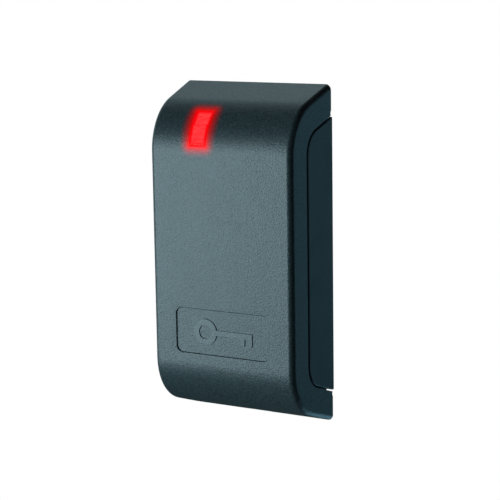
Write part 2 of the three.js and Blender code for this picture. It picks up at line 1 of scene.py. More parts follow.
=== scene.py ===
"""A wall-mounted proximity card reader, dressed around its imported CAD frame.

Sizes inside the classes are millimetres in the CAD frame (+Z up, the wall is y = 0, the face looks
along -Y). Finished meshes are in metres, with every object at the origin.
"""

import logging
import math
from dataclasses import dataclass
from enum import Enum
from typing import Callable, Iterable, Optional, Sequence, Union

import bmesh
import bpy
from mathutils import Matrix, Vector


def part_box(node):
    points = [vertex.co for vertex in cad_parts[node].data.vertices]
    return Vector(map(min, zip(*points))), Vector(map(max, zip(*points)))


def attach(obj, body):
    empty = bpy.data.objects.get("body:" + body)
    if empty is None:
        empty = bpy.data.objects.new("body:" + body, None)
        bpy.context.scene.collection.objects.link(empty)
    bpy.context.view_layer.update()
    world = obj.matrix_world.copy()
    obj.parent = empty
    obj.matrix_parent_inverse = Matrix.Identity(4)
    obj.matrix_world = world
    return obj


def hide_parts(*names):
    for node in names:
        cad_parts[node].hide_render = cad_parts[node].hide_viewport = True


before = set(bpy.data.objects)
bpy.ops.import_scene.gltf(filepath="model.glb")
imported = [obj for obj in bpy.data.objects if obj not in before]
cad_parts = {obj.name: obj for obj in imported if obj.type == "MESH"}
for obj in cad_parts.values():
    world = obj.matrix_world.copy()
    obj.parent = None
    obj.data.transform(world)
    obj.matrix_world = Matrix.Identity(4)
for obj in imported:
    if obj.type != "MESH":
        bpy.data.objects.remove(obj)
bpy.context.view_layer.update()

LOG = logging.getLogger("card_reader")
MM = 0.001
MERGE_DISTANCE = 0.002  # millimetres
SLACK = 1e-6  # millimetres or radians that count as nothing
WINDOW_HALF = 2.6  # half the light window's width, in millimetres
WINDOW_ANGLES = (math.radians(8.7), math.radians(47.7))  # its lower and upper edges, above forward
Point = tuple[float, float, float]
Colour = tuple[float, float, float]


class Body(Enum):
    """CAD bodies that the pieces ride on."""

    BASE = "base"
    COVER = "cover"
    TAMPER = "tamper_button"


class Slot(Enum):
    """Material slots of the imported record."""

    COVER = "cover_plastic"
    BASE = "base_plastic"
    LIGHT = "light_plastic"
    RUBBER = "rubber"
    BOARD = "board_laminate"
    WHITE = "white_plastic"
    COPPER = "enamelled_copper"
    STEEL = "zinc_steel"
    BLACK = "black_plastic"
    LED = "led_lens"
    EPOXY = "chip_epoxy"
    CERAMIC = "ceramic"
    CAN = "bright_can"
    FILM = "film_case"
    GREEN = "green_plastic"


# ---------------------------------------------------------------------------
# Boxes of the CAD nodes
# ---------------------------------------------------------------------------


@dataclass(frozen=True)
class Extent:
    """Lowest and highest corners of a CAD node at rest, in millimetres."""

    low: Vector
    high: Vector

    @classmethod
    def of(cls, node: str) -> "Extent":
        """Reads a node's box.

        Args:
            node: name of the CAD node.

        Returns:
            Its extent in millimetres.
        """
        low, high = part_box(node)
        return cls(Vector(low) / MM, Vector(high) / MM)

    @property
    def middle(self) -> Vector:
        """Middle of the box."""
        return (self.low + self.high) / 2

    @property
    def size(self) -> Vector:
        """Lengths of the box along X, Y and Z."""
        return self.high - self.low


# ---------------------------------------------------------------------------
# Mesh making
# ---------------------------------------------------------------------------


class MeshBench:
    """Makes closed meshes in millimetres and turns them into finished objects in metres."""

    @staticmethod
    def loft(loops: Sequence[Sequence[Point]], closed: bool = False) -> bmesh.types.BMesh:
        """Joins loops of equal length by quads.

        Args:
            loops: rings of points, in order.
            closed: True joins the last ring to the first, False caps both ends.

        Returns:
            A closed mesh.
        """
        bm = bmesh.new()
        rings = [[bm.verts.new(p) for p in loop] for loop in loops]
        pairs = list(zip(rings, rings[1:] + rings[:1])) if closed else list(zip(rings, rings[1:]))
        for a, b in pairs:
            for i in range(len(a)):
                j = (i + 1) % len(a)
                bm.faces.new((a[i], a[j], b[j], b[i]))
        if not closed:
            bm.faces.new(tuple(reversed(rings[0])))
            bm.faces.new(tuple(rings[-1]))
        bmesh.ops.recalc_face_normals(bm, faces=bm.faces[:])
        return bm

    @staticmethod
    def lathe(
        profile: Sequence[tuple[float, float]], x: float, z: float, sides: int = 48
    ) -> bmesh.types.BMesh:
        """Turns a profile about an axis along Y.

        Args:
            profile: pairs of radius and y, from one end of the axis to the other. A profile
                that starts and ends on the axis has radius 0 there; any other is a closed ring.
            x: place of the axis.
            z: place of the axis.
            sides: flats in a full turn.

        Returns:
            A closed mesh.
        """
        bm = bmesh.new()
        rings: list[list[bmesh.types.BMVert]] = []
        for radius, y in profile:
            if radius <= 0:
                rings.append([bm.verts.new((x, y, z))])
                continue
            ring = []
            for i in range(sides):
                turn = 2 * math.pi * i / sides
                ring.append(bm.verts.new((x + radius * math.cos(turn), y, z + radius * math.sin(turn))))
            rings.append(ring)
        ringed = profile[0][0] > 0
        follow = rings[1:] + (rings[:1] if ringed else [])
        for a, b in zip(rings, follow):
            for i in range(sides):
                j = (i + 1) % sides
                corners = [a[i % len(a)], a[j % len(a)], b[j % len(b)], b[i % len(b)]]
                unique = list(dict.fromkeys(corners))
                if len(unique) > 2:
                    bm.faces.new(unique)
        bmesh.ops.recalc_face_normals(bm, faces=bm.faces[:])
        return bm

    @staticmethod
    def box(low: Point, high: Point) -> bmesh.types.BMesh:
        """A plain box, used as a cutter or as the start of a shaped piece.

        Args:
            low: lowest corner.
            high: highest corner.

        Returns:
            A closed mesh.
        """
        x0, y0, z0 = low
        x1, y1, z1 = high
        back = [(x0, y1, z0), (x1, y1, z0), (x1, y1, z1), (x0, y1, z1)]
        return MeshBench.loft([back, [(x, y0, z) for x, _, z in back]])

    @staticmethod
    def slab(outline: Sequence[tuple[float, float]], back: float, front: float) -> bmesh.types.BMesh:
        """Extrudes an outline drawn in x and z.

        Args:
            outline: corner points, in order.
            back: y of the rear face.
            front: y of the front face.

        Returns:
            A closed mesh.
        """
        return MeshBench.loft([[(x, back, z) for x, z in outline], [(x, front, z) for x, z in outline]])

    @staticmethod
    def joined(parts: Iterable[bmesh.types.BMesh]) -> bmesh.types.BMesh:
        """Puts several meshes into one.

        Args:
            parts: meshes, which are used up.

        Returns:
            One mesh with a shell for each.
        """
        whole = bmesh.new()
        for part in parts:
            spare = bpy.data.meshes.new("spare")
            part.to_mesh(spare)
            part.free()
            whole.from_mesh(spare)
            bpy.data.meshes.remove(spare)
        return whole

    @staticmethod
    def to_object(name: str, bm: bmesh.types.BMesh) -> bpy.types.Object:
        """Makes an object from a mesh in millimetres.

        Args:
            name: of the object.
            bm: the mesh, which is used up.

        Returns:
            The object, at the origin, in metres.
        """
        bmesh.ops.remove_doubles(bm, verts=bm.verts[:], dist=MERGE_DISTANCE)
        bmesh.ops.scale(bm, vec=(MM, MM, MM), verts=bm.verts[:])
        mesh = bpy.data.meshes.new(name)
        bm.to_mesh(mesh)
        bm.free()
        made = bpy.data.objects.new(name, mesh)
        bpy.context.scene.collection.objects.link(made)
        return made

    @staticmethod
    def baked(obj: bpy.types.Object) -> bpy.types.Object:
        """Turns an object's modifiers into plain mesh.

        Args:
            obj: the object.

        Returns:
            The same object, with its modifiers applied and removed.
        """
        bpy.context.view_layer.update()
        graph = bpy.context.evaluated_depsgraph_get()
        fresh = bpy.data.meshes.new_from_object(obj.evaluated_get(graph), depsgraph=graph)
        fresh.name = obj.name
        old = obj.data
        obj.modifiers.clear()
        obj.data = fresh
        if old.users == 0:
            bpy.data.meshes.remove(old)
        return obj

    @classmethod
    def cut(
        cls, obj: bpy.types.Object, tool: bmesh.types.BMesh, operation: str = "DIFFERENCE"
    ) -> bpy.types.Object:
        """Cuts a tool's shape out of an object, or adds it.

        Args:
            obj: the object that is changed.
            tool: closed mesh in millimetres, which is used up.
            operation: DIFFERENCE, UNION or INTERSECT.

        Returns:
            The same object.
        """
        cutter = cls.to_object("cutter", tool)
        step = obj.modifiers.new("cut", "BOOLEAN")
        step.operation = operation
        step.solver = "EXACT"
        step.use_self = True
        step.object = cutter
        cls.baked(obj)
        bpy.data.objects.remove(cutter)
        return obj

    @classmethod
    def eased(
        cls, obj: bpy.types.Object, width: float = 0.15, segments: int = 2, angle: float = 38.0
    ) -> bpy.types.Object:
        """Rounds the sharp edges and gives the faces soft, weighted shading.

        Args:
            obj: the object.
            width: of the rounding, in millimetres; 0 leaves the edges alone.
            segments: faces across each rounded edge.
            angle: edges that turn by more than this many degrees are rounded.

        Returns:
            The same object.
        """
        for face in obj.data.polygons:
            face.use_smooth = True
        if width > 0:
            ease = obj.modifiers.new("ease", "BEVEL")
            ease.width = width * MM
            ease.segments = segments
            ease.limit_method = "ANGLE"
            ease.angle_limit = math.radians(angle)
            ease.use_clamp_overlap = True
            ease.harden_normals = False
        weigh = obj.modifiers.new("weigh", "WEIGHTED_NORMAL")
        weigh.weight = 80
        weigh.keep_sharp = True
        return cls.baked(obj)

    @classmethod
    def refined(cls, node: str, name: str, width: float = 0.12, segments: int = 2) -> bpy.types.Object:
        """A CAD node's shape with its flats merged and its sharp edges rounded.

        Args:
            node: CAD node to copy.
            name: of the new object.
            width: of the rounding, in millimetres.
            segments: faces across each rounded edge.

        Returns:
            The new object.
        """
        bm = bmesh.new()
        bm.from_mesh(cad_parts[node].data)
        bmesh.ops.scale(bm, vec=(1 / MM, 1 / MM, 1 / MM), verts=bm.verts[:])
        bmesh.ops.remove_doubles(bm, verts=bm.verts[:], dist=MERGE_DISTANCE)
        bmesh.ops.dissolve_limit(
            bm,
            angle_limit=math.radians(0.8),
            use_dissolve_boundaries=False,
            verts=bm.verts[:],
            edges=bm.edges[:],
        )
        return cls.eased(cls.to_object(name, bm), width, segments)


def rounded_outline(
    left: float, bottom: float, right: float, top: float, radius: float, steps: int = 8
) -> list:
    """Corner points of a rectangle with round corners.

    Args:
        left: lowest x.
        bottom: lowest z.
        right: highest x.
        top: highest z.
        radius: of the corners.
        steps: edges in each corner.

    Returns:
        Points (x, z), anticlockwise from the bottom right.
    """
    centres = (
        (right - radius, bottom + radius, -90),
        (right - radius, top - radius, 0),
        (left + radius, top - radius, 90),
        (left + radius, bottom + radius, 180),
    )
    points = []
    for x, z, start in centres:
        for i in range(steps + 1):
            turn = math.radians(start + 90 * i / steps)
            points.append((x + radius * math.cos(turn), z + radius * math.sin(turn)))
    return points


# ---------------------------------------------------------------------------
# Shader building
# ---------------------------------------------------------------------------

Socket = Union[bpy.types.NodeSocket, float, tuple]


class Wiring:
    """Adds nodes to one tree and links them, so that a material reads top to bottom."""

    def __init__(self, tree: bpy.types.NodeTree) -> None:
        """Starts on a tree.

        Args:
            tree: the node tree to fill.
        """
        self.tree = tree

    def node(
        self, kind: str, inputs: Optional[dict[Union[str, int], Socket]] = None, **settings: object
    ) -> bpy.types.Node:
        """Adds one node.

        Args:
            kind: Blender's node type.
            inputs: sockets or values for its inputs, by name or index.
            settings: attributes of the node.

        Returns:
            The node.
        """
        made = self.tree.nodes.new(kind)
        made.location = (220 * (len(self.tree.nodes) % 12), -260 * (len(self.tree.nodes) // 12))
        for key, value in settings.items():
            setattr(made, key, value)
        for key, value in (inputs or {}).items():
            self.feed(made.inputs[key], value)
        return made

    def feed(self, socket: bpy.types.NodeSocket, value: Socket) -> None:
        """Links a socket to an output, or sets its value.

        Args:
            socket: the input.
            value: an output socket, a number or a tuple.
        """
        if isinstance(value, bpy.types.NodeSocket):
            self.tree.links.new(value, socket)
        elif isinstance(value, tuple) and len(value) == 3 and socket.type == "RGBA":
            socket.default_value = (*value, 1.0)
        else:
            socket.default_value = value

    def math(self, operation: str, a: Socket, b: Socket = 0.0, clamp: bool = False) -> bpy.types.NodeSocket:
        """One Math node.

        Args:
            operation: of the node.
            a: first value.
            b: second value.
            clamp: keeps the result from 0 to 1.

        Returns:
            Its result.
        """
        return self.node("ShaderNodeMath", {0: a, 1: b}, operation=operation, use_clamp=clamp).outputs[0]

    def vector(self, operation: str, a: Socket, b: Socket = (0.0, 0.0, 0.0)) -> bpy.types.NodeSocket:
        """One Vector Math node.

        Args:
            operation: of the node.
            a: first vector.
            b: second vector.

        Returns:
            Its vector, or its number for a length.
        """
        made = self.node("ShaderNodeVectorMath", {0: a, 1: b}, operation=operation)
        return made.outputs["Value" if operation in ("LENGTH", "DISTANCE", "DOT_PRODUCT") else "Vector"]

    def blend(self, share: Socket, a: Socket, b: Socket, kind: str = "MIX") -> bpy.types.NodeSocket:
        """Mixes two colours.

        Args:
            share: of the second colour.
            a: first colour.
            b: second colour.
            kind: blend type.

        Returns:
            The mixed colour.
        """
        made = self.tree.nodes.new("ShaderNodeMix")
        made.data_type = "RGBA"
        made.blend_type = kind
        self.feed(made.inputs[0], share)
        self.feed(made.inputs[6], a)
        self.feed(made.inputs[7], b)
        return made.outputs[2]

    def span(
        self, value: Socket, low: float, high: float, to_low: float, to_high: float, smooth: bool = True
    ) -> bpy.types.NodeSocket:
        """Carries a range of values to another range.

        Args:
            value: what is carried.
            low: start of its range.
            high: end of its range.
            to_low: start of the new range.
            to_high: end of the new range.
            smooth: eases both ends.

        Returns:
            The carried value.
        """
        made = self.node(
            "ShaderNodeMapRange",
            {"Value": value, "From Min": low, "From Max": high, "To Min": to_low, "To Max": to_high},
            interpolation_type="SMOOTHSTEP" if smooth else "LINEAR",
        )
        return made.outputs["Result"]

    def noise(
        self, place: Socket, scale: float, detail: float = 3.0, rough: float = 0.5
    ) -> bpy.types.NodeSocket:
        """Cloudy noise from 0 to 1.

        Args:
            place: coordinates.
            scale: clouds per metre.
            detail: octaves.
            rough: share of the fine octaves.

        Returns:
            The noise.
        """
        made = self.node(
            "ShaderNodeTexNoise", {"Vector": place, "Scale": scale, "Detail": detail, "Roughness": rough}
        )
        return made.outputs["Fac"]


class GroupLibrary:
    """Shader node groups that several finishes share, each built once."""

    _made: dict[str, bpy.types.NodeTree] = {}

    @classmethod
    def _start(
        cls, name: str, inputs: dict[str, tuple[str, object]], outputs: dict[str, str]
    ) -> tuple[Wiring, bpy.types.Node, bpy.types.Node]:
        """Opens a new group.

        Args:
            name: of the group.
            inputs: socket kind and default for each input.
            outputs: socket kind for each output.

        Returns:
            The wiring, the group's input node and its output node.
        """
        tree = bpy.data.node_groups.new(name, "ShaderNodeTree")
        for label, (kind, default) in inputs.items():
            made = tree.interface.new_socket(label, in_out="INPUT", socket_type=kind)
            if default is not None:
                made.default_value = default
        for label, kind in outputs.items():
            tree.interface.new_socket(label, in_out="OUTPUT", socket_type=kind)
        cls._made[name] = tree
        wiring = Wiring(tree)
        return wiring, wiring.node("NodeGroupInput"), wiring.node("NodeGroupOutput")

    @classmethod
    def moulded_grain(cls) -> bpy.types.NodeTree:
        """Fine spark-eroded texture of a moulded surface, with a faint cloudiness.

        Returns:
            The group, with outputs Height and Tone.
        """
        if "moulded_grain" in cls._made:
            return cls._made["moulded_grain"]
        wiring, source, sink = cls._start(
            "moulded_grain",
            {
                "Vector": ("NodeSocketVector", None),
                "Grain Size": ("NodeSocketFloat", 2600.0),
                "Cloud Size": ("NodeSocketFloat", 55.0),
            },
            {"Height": "NodeSocketFloat", "Tone": "NodeSocketFloat"},
        )
        place = source.outputs["Vector"]
        coarse = wiring.node(
            "ShaderNodeTexNoise",
            {"Vector": place, "Scale": source.outputs["Grain Size"], "Detail": 2.0, "Roughness": 0.65},
        ).outputs["Fac"]
        pits = wiring.node(
            "ShaderNodeTexVoronoi", {"Vector": place, "Scale": source.outputs["Grain Size"]}, feature="F1"
        ).outputs["Distance"]
        cloud = wiring.node(
            "ShaderNodeTexNoise",
            {"Vector": place, "Scale": source.outputs["Cloud Size"], "Detail": 2.0},
        ).outputs["Fac"]
        wiring.feed(sink.inputs["Height"], wiring.math("ADD", coarse, wiring.math("MULTIPLY", pits, 0.35)))
        fine = wiring.math("MULTIPLY", coarse, 0.96)
        wiring.feed(sink.inputs["Tone"], wiring.math("ADD", fine, wiring.math("MULTIPLY", cloud, 0.04)))
        return cls._made["moulded_grain"]

    @classmethod
    def handling_marks(cls) -> bpy.types.NodeTree:
        """Faint rubs and dust that change how rough a surface is.

        Returns:
            The group, with the output Mask.
        """
        if "handling_marks" in cls._made:
            return cls._made["handling_marks"]
        wiring, source, sink = cls._start(
            "handling_marks",
            {"Vector": ("NodeSocketVector", None), "Size": ("NodeSocketFloat", 90.0)},
            {"Mask": "NodeSocketFloat"},
        )
        broad = wiring.node(
            "ShaderNodeTexNoise",
            {
                "Vector": source.outputs["Vector"],
                "Scale": source.outputs["Size"],
                "Detail": 4.0,
                "Roughness": 0.6,
            },
        ).outputs["Fac"]
        wiring.feed(sink.inputs["Mask"], wiring.span(broad, 0.42, 0.68, 0.0, 1.0))
        return cls._made["handling_marks"]


class Shader:
    """One material with its Principled BSDF, ready for colours, roughness and bumps."""

    def __init__(self, name: str) -> None:
        """Makes the material.

        Args:
            name: of the material.
        """
        self.material = bpy.data.materials.new(name)
        self.material.use_nodes = True
        self.tree = self.material.node_tree
        self.wiring = Wiring(self.tree)
        self.surface = next(n for n in self.tree.nodes if n.type == "BSDF_PRINCIPLED")
        self.place = self.wiring.node("ShaderNodeTexCoord").outputs["Object"]

    def set(self, **values: Socket) -> "Shader":
        """Feeds sockets of the Principled BSDF.

        Args:
            values: by socket name, with underscores for spaces.

        Returns:
            Itself.
        """
        for key, value in values.items():
            self.wiring.feed(self.surface.inputs[key.replace("_", " ")], value)
        return self

    def grouped(self, tree: bpy.types.NodeTree, **values: Socket) -> bpy.types.Node:
        """Places a shared group, reading Object coordinates.

        Args:
            tree: the group.
            values: its inputs, with underscores for spaces.

        Returns:
            The group node.
        """
        inputs = {"Vector": self.place, **{k.replace("_", " "): v for k, v in values.items()}}
        made = self.wiring.node("ShaderNodeGroup", node_tree=tree)
        for key, value in inputs.items():
            self.wiring.feed(made.inputs[key], value)
        return made

    def bump(self, height: Socket, depth: float, strength: float = 1.0) -> "Shader":
        """Adds a bump on the normal.

        Args:
            height: from 0 to 1.
            depth: of a full step, in millimetres.
            strength: of the bump.

        Returns:
            Itself.
        """
        made = self.wiring.node(
            "ShaderNodeBump", {"Height": height, "Distance": depth * MM, "Strength": strength}
        )
        self.wiring.feed(self.surface.inputs["Normal"], made.outputs["Normal"])
        return self


@dataclass(frozen=True)
class Moulding:
    """A moulded plastic or rubber: colour, cloudiness, grain and gloss."""

    name: str
    colour: Colour
    shade: Colour
    roughness: float = 0.45
    rough_spread: float = 0.03
    grain_size: float = 2600.0
    grain_depth: float = 0.045
    specular: float = 0.5

    def shader(self) -> Shader:
        """Builds the shader.

        Returns:
            The shader, open for additions.
        """
        shader = Shader(self.name)
        wiring = shader.wiring
        grain = shader.grouped(GroupLibrary.moulded_grain(), Grain_Size=self.grain_size)
        marks = shader.grouped(GroupLibrary.handling_marks())
        tone = wiring.span(grain.outputs["Tone"], 0.4, 0.6, 0.0, 1.0, smooth=False)
        shader.set(
            Base_Color=wiring.blend(tone, self.shade, self.colour),
            Roughness=wiring.span(
                marks.outputs["Mask"],
                0.0,
                1.0,
                self.roughness,
                self.roughness + self.rough_spread,
                smooth=False,
            ),
            Specular_IOR_Level=self.specular,
        )
        return shader.bump(grain.outputs["Height"], self.grain_depth)

    def material(self) -> bpy.types.Material:
        """Builds the material."""
        return self.shader().material


@dataclass(frozen=True)
class Metal:
    """A bare or plated metal with fine drawing lines and a little tarnish."""

    name: str
    colour: Colour
    tarnish: Colour
    roughness: float = 0.28
    line_size: float = 900.0
    line_depth: float = 0.003

    def material(self) -> bpy.types.Material:
        """Builds the material.

        Returns:
            The material.
        """
        shader = Shader(self.name)
        wiring = shader.wiring
        marks = shader.grouped(GroupLibrary.handling_marks(), Size=420.0)
        stretched = wiring.vector("MULTIPLY", shader.place, (1.0, 0.08, 1.0))
        lines = wiring.noise(stretched, self.line_size, 4.0, 0.6)
        shader.set(
            Base_Color=wiring.blend(marks.outputs["Mask"], self.colour, self.tarnish),
            Metallic=1.0,
            Roughness=wiring.span(lines, 0.3, 0.7, self.roughness, self.roughness + 0.14, smooth=False),
        )
        return shader.bump(lines, self.line_depth).material


@dataclass(frozen=True)
class CoverPlastic(Moulding):
    """The cover's dark moulding, with the red glow that the lit window throws on it."""

    glow: Colour = (1.0, 0.002, 0.003)
    flooded: Colour = (0.3, 0.0, 0.0)  # what the plastic reflects where the glow floods it
    glow_strength: float = 0.8
    glow_reach: float = 4.2

    def lit_by(self, window: Extent) -> bpy.types.Material:
        """Builds the material with a glow round a lit window.

        Args:
            window: box of the lit window's outer face, in millimetres.

        Returns:
            The material.
        """
        shader = self.shader()
        wiring = shader.wiring
        centre = tuple(window.middle * MM)
        half = tuple(window.size / 2 * MM)
        offset = wiring.vector("ABSOLUTE", wiring.vector("SUBTRACT", shader.place, centre))
        outside = wiring.vector("MAXIMUM", wiring.vector("SUBTRACT", offset, half), (0.0, 0.0, 0.0))
        near = wiring.span(
            wiring.vector("LENGTH", outside), 0.0, self.glow_reach * MM, 1.0, 0.0, smooth=False
        )
        glow = wiring.math("POWER", near, 2.7)
        flooded = wiring.math("POWER", near, 1.5)
        plastic = shader.surface.inputs["Base Color"].links[0].from_socket
        shader.set(
            Base_Color=wiring.blend(flooded, plastic, self.flooded),
            Metallic=flooded,
            Emission_Color=wiring.blend(glow, (0.0, 0.0, 0.0), self.glow),
            Emission_Strength=self.glow_strength,
        )
        return shader.material


@dataclass(frozen=True)
class LitPipe:
    """Red light guide, lit from behind: a bright stepped core in a deeper red rim."""

    name: str
    bright: Colour = (1.0, 0.045, 0.05)
    core: Colour = (1.0, 0.008, 0.014)
    rim: Colour = (0.82, 0.001, 0.004)
    strength: float = 1.0
    lines: tuple[tuple[float, float], ...] = ((0.56, 0.05), (0.16, 0.04))  # middles and reaches, as shares
    line_depth: float = 0.35
    jog: float = 0.25  # sideways step of the bright core, in millimetres

    def material(
        self, axis_y: float, axis_z: float, centre_x: float, half_width: float, start: float, end: float
    ) -> bpy.types.Material:
        """Builds the material for a window on a round corner.

        Args:
            axis_y: y of the corner's axis, in millimetres.
            axis_z: z of the corner's axis, in millimetres.
            centre_x: middle of the window, in millimetres.
            half_width: half its width, in millimetres.
            start: angle of its lower edge above forward, in radians.
            end: angle of its upper edge, in radians.

        Returns:
            The material.
        """
        shader = Shader(self.name)
        wiring = shader.wiring
        parts = wiring.node("ShaderNodeSeparateXYZ", {0: shader.place})
        up = wiring.math("SUBTRACT", parts.outputs["Z"], axis_z * MM)
        forward = wiring.math("SUBTRACT", axis_y * MM, parts.outputs["Y"])
        angle = wiring.math("ARCTAN2", up, forward)
        along = wiring.span(angle, start, end, 0.0, 1.0, smooth=False)
        jog = wiring.span(along, 0.5, 0.62, 0.0, self.jog * MM)
        across = wiring.math("SUBTRACT", wiring.math("SUBTRACT", parts.outputs["X"], centre_x * MM), jog)
        wiggle = wiring.math("MULTIPLY", wiring.noise(shader.place, 700.0, 2.0), 0.0003)
        side = wiring.math("SUBTRACT", wiring.math("ABSOLUTE", across), wiggle)
        in_side = wiring.span(side, half_width * MM * 0.62, half_width * MM * 0.88, 1.0, 0.0)
        in_low = wiring.span(along, 0.02, 0.14, 0.0, 1.0)
        in_high = wiring.span(along, 0.88, 0.99, 1.0, 0.0)
        core = wiring.math("MULTIPLY", in_side, wiring.math("MULTIPLY", in_low, in_high))
        streaks = wiring.noise(wiring.vector("MULTIPLY", shader.place, (0.35, 1.0, 1.0)), 1500.0, 3.0, 0.7)
        hot = wiring.math("MULTIPLY", core, wiring.span(streaks, 0.35, 0.62, 0.35, 1.0))
        for middle, reach in self.lines:
            gap = wiring.math("ABSOLUTE", wiring.math("SUBTRACT", along, middle))
            line = wiring.span(gap, 0.0, reach, 1.0, 0.0)
            hot = wiring.math("SUBTRACT", hot, wiring.math("MULTIPLY", line, self.line_depth), clamp=True)
        red = wiring.blend(core, self.rim, self.core)
        light = wiring.blend(hot, red, self.bright)
        shader.set(
            Base_Color=wiring.blend(core, (0.25, 0.002, 0.003), (0.5, 0.01, 0.01)),
            Roughness=wiring.span(streaks, 0.3, 0.7, 0.12, 0.3),
            Specular_IOR_Level=0.08,
            Emission_Color=light,
            Emission_Strength=self.strength,
        )
        return shader.bump(streaks, 0.01).material


@dataclass(frozen=True)
class BoardLaminate:
    """Green solder mask over copper tracks that show as slightly lighter, raised stripes."""

    name: str
    mask: Colour = (0.008, 0.085, 0.033)
    track: Colour = (0.018, 0.16, 0.058)
    row: float = 0.85  # spacing of the tracks, in millimetres
    length: float = 11.0
    margin: float = 0.17
    relief: float = 0.03

    def material(self) -> bpy.types.Material:
        """Builds the material.

        Returns:
            The material.
        """
        shader = Shader(self.name)
        wiring = shader.wiring
        parts = wiring.node("ShaderNodeSeparateXYZ", {0: shader.place})
        flat = wiring.node(
            "ShaderNodeCombineXYZ", {"X": parts.outputs["Z"], "Y": parts.outputs["X"]}
        ).outputs[0]
        bricks = wiring.node(
            "ShaderNodeTexBrick",
            {
                "Vector": flat,
                "Scale": 1.0,
                "Mortar Size": self.margin * MM,
                "Mortar Smooth": 0.1,
                "Brick Width": self.length * MM,
                "Row Height": self.row * MM,
            },
        )
        gap = bricks.outputs["Fac"]
        area = wiring.span(wiring.noise(shader.place, 95.0, 1.0), 0.47, 0.49, 0.0, 1.0)
        copper = wiring.math("MULTIPLY", wiring.math("SUBTRACT", 1.0, gap), area)
        cloud = shader.grouped(GroupLibrary.moulded_grain(), Grain_Size=900.0)
        tone = wiring.span(cloud.outputs["Tone"], 0.3, 0.7, 0.85, 1.1, smooth=False)
        colour = wiring.blend(copper, self.mask, self.track)
        height = wiring.math("ADD", copper, wiring.math("MULTIPLY", cloud.outputs["Height"], 0.06))
        marks = shader.grouped(GroupLibrary.handling_marks())
        shader.set(
            Base_Color=wiring.blend(1.0, colour, tone, "MULTIPLY"),
            Roughness=wiring.span(marks.outputs["Mask"], 0.0, 1.0, 0.22, 0.32, smooth=False),
            Specular_IOR_Level=0.5,
        )
        return shader.bump(height, self.relief).material


class Finishes:
    """Every finish of the reader, made once."""

    def __init__(self, window: Extent) -> None:
        """Builds the finishes.

        Args:
            window: box of the lit window's outer face.
        """
        slate = {"colour": (0.048, 0.070, 0.077), "shade": (0.020, 0.032, 0.036)}
        self.cover = CoverPlastic(
            "cover_slate", roughness=0.4, rough_spread=0.01, grain_size=2100.0, grain_depth=0.07, **slate
        ).lit_by(window)
        self.emblem = Moulding("emblem_slate", roughness=0.36, **slate).material()
        self.base = Moulding(
            "base_slate", (0.026, 0.043, 0.049), (0.018, 0.031, 0.036), roughness=0.46, grain_depth=0.008
        ).material()
        self.black = Moulding(
            "black_nylon", (0.017, 0.017, 0.018), (0.011, 0.011, 0.012), roughness=0.5
        ).material()
        self.white = Moulding(
            "natural_nylon", (0.68, 0.66, 0.6), (0.6, 0.58, 0.52), roughness=0.42
        ).material()
        self.green = Moulding(
            "terminal_green", (0.022, 0.19, 0.06), (0.016, 0.15, 0.046), roughness=0.4
        ).material()
        self.rubber = Moulding(
            "soft_rubber", (0.016, 0.016, 0.016), (0.011, 0.011, 0.011), roughness=0.78, grain_depth=0.02
        ).material()
        self.epoxy = Moulding(
            "moulding_compound",
            (0.016, 0.016, 0.017),
            (0.010, 0.010, 0.011),
            roughness=0.55,
            grain_size=5200.0,
        ).material()
        self.ceramic = Moulding(
            "fired_ceramic", (0.36, 0.23, 0.12), (0.28, 0.17, 0.09), roughness=0.5
        ).material()
        self.film = Moulding("film_case", (0.40, 0.035, 0.02), (0.3, 0.022, 0.014), roughness=0.3).material()
        self.led_body = Moulding("led_body", (0.75, 0.74, 0.7), (0.68, 0.66, 0.62), roughness=0.35).material()
        self.steel = Metal("zinc_plate", (0.62, 0.63, 0.65), (0.48, 0.49, 0.5)).material()
        self.tin = Metal("tinned_leg", (0.72, 0.72, 0.71), (0.55, 0.55, 0.53), roughness=0.22).material()
        self.can = Metal("drawn_aluminium", (0.78, 0.78, 0.79), (0.64, 0.64, 0.65), roughness=0.3).material()
        self.copper = Metal(
            "enamelled_copper", (0.5, 0.17, 0.06), (0.36, 0.1, 0.035), roughness=0.2
        ).material()
        self.sleeve = Moulding(
            "shrunk_sleeve", (0.02, 0.022, 0.05), (0.015, 0.017, 0.04), roughness=0.3, grain_depth=0.004
        ).material()
        self.lens = Moulding(
            "clear_resin", (0.62, 0.6, 0.42), (0.56, 0.53, 0.36), 0.1, grain_depth=0.0005
        ).material()
        self.board = BoardLaminate("solder_mask").material()


# ---------------------------------------------------------------------------
# The outer form, shared by the cover and the light guide
# ---------------------------------------------------------------------------


class Zone(Enum):
    """Stretches of the side profile."""

    EDGE = "edge"  # a plane at a given y near the wall
    SLOPE = "slope"  # share of the way from the edge to the round corner
    ARC = "arc"  # angle above forward on the round corner
    FRONT = "front"  # height on the flat front


@dataclass(frozen=True)
class Station:
    """A place along the side profile."""

    zone: Zone
    value: float
    up: int = 1


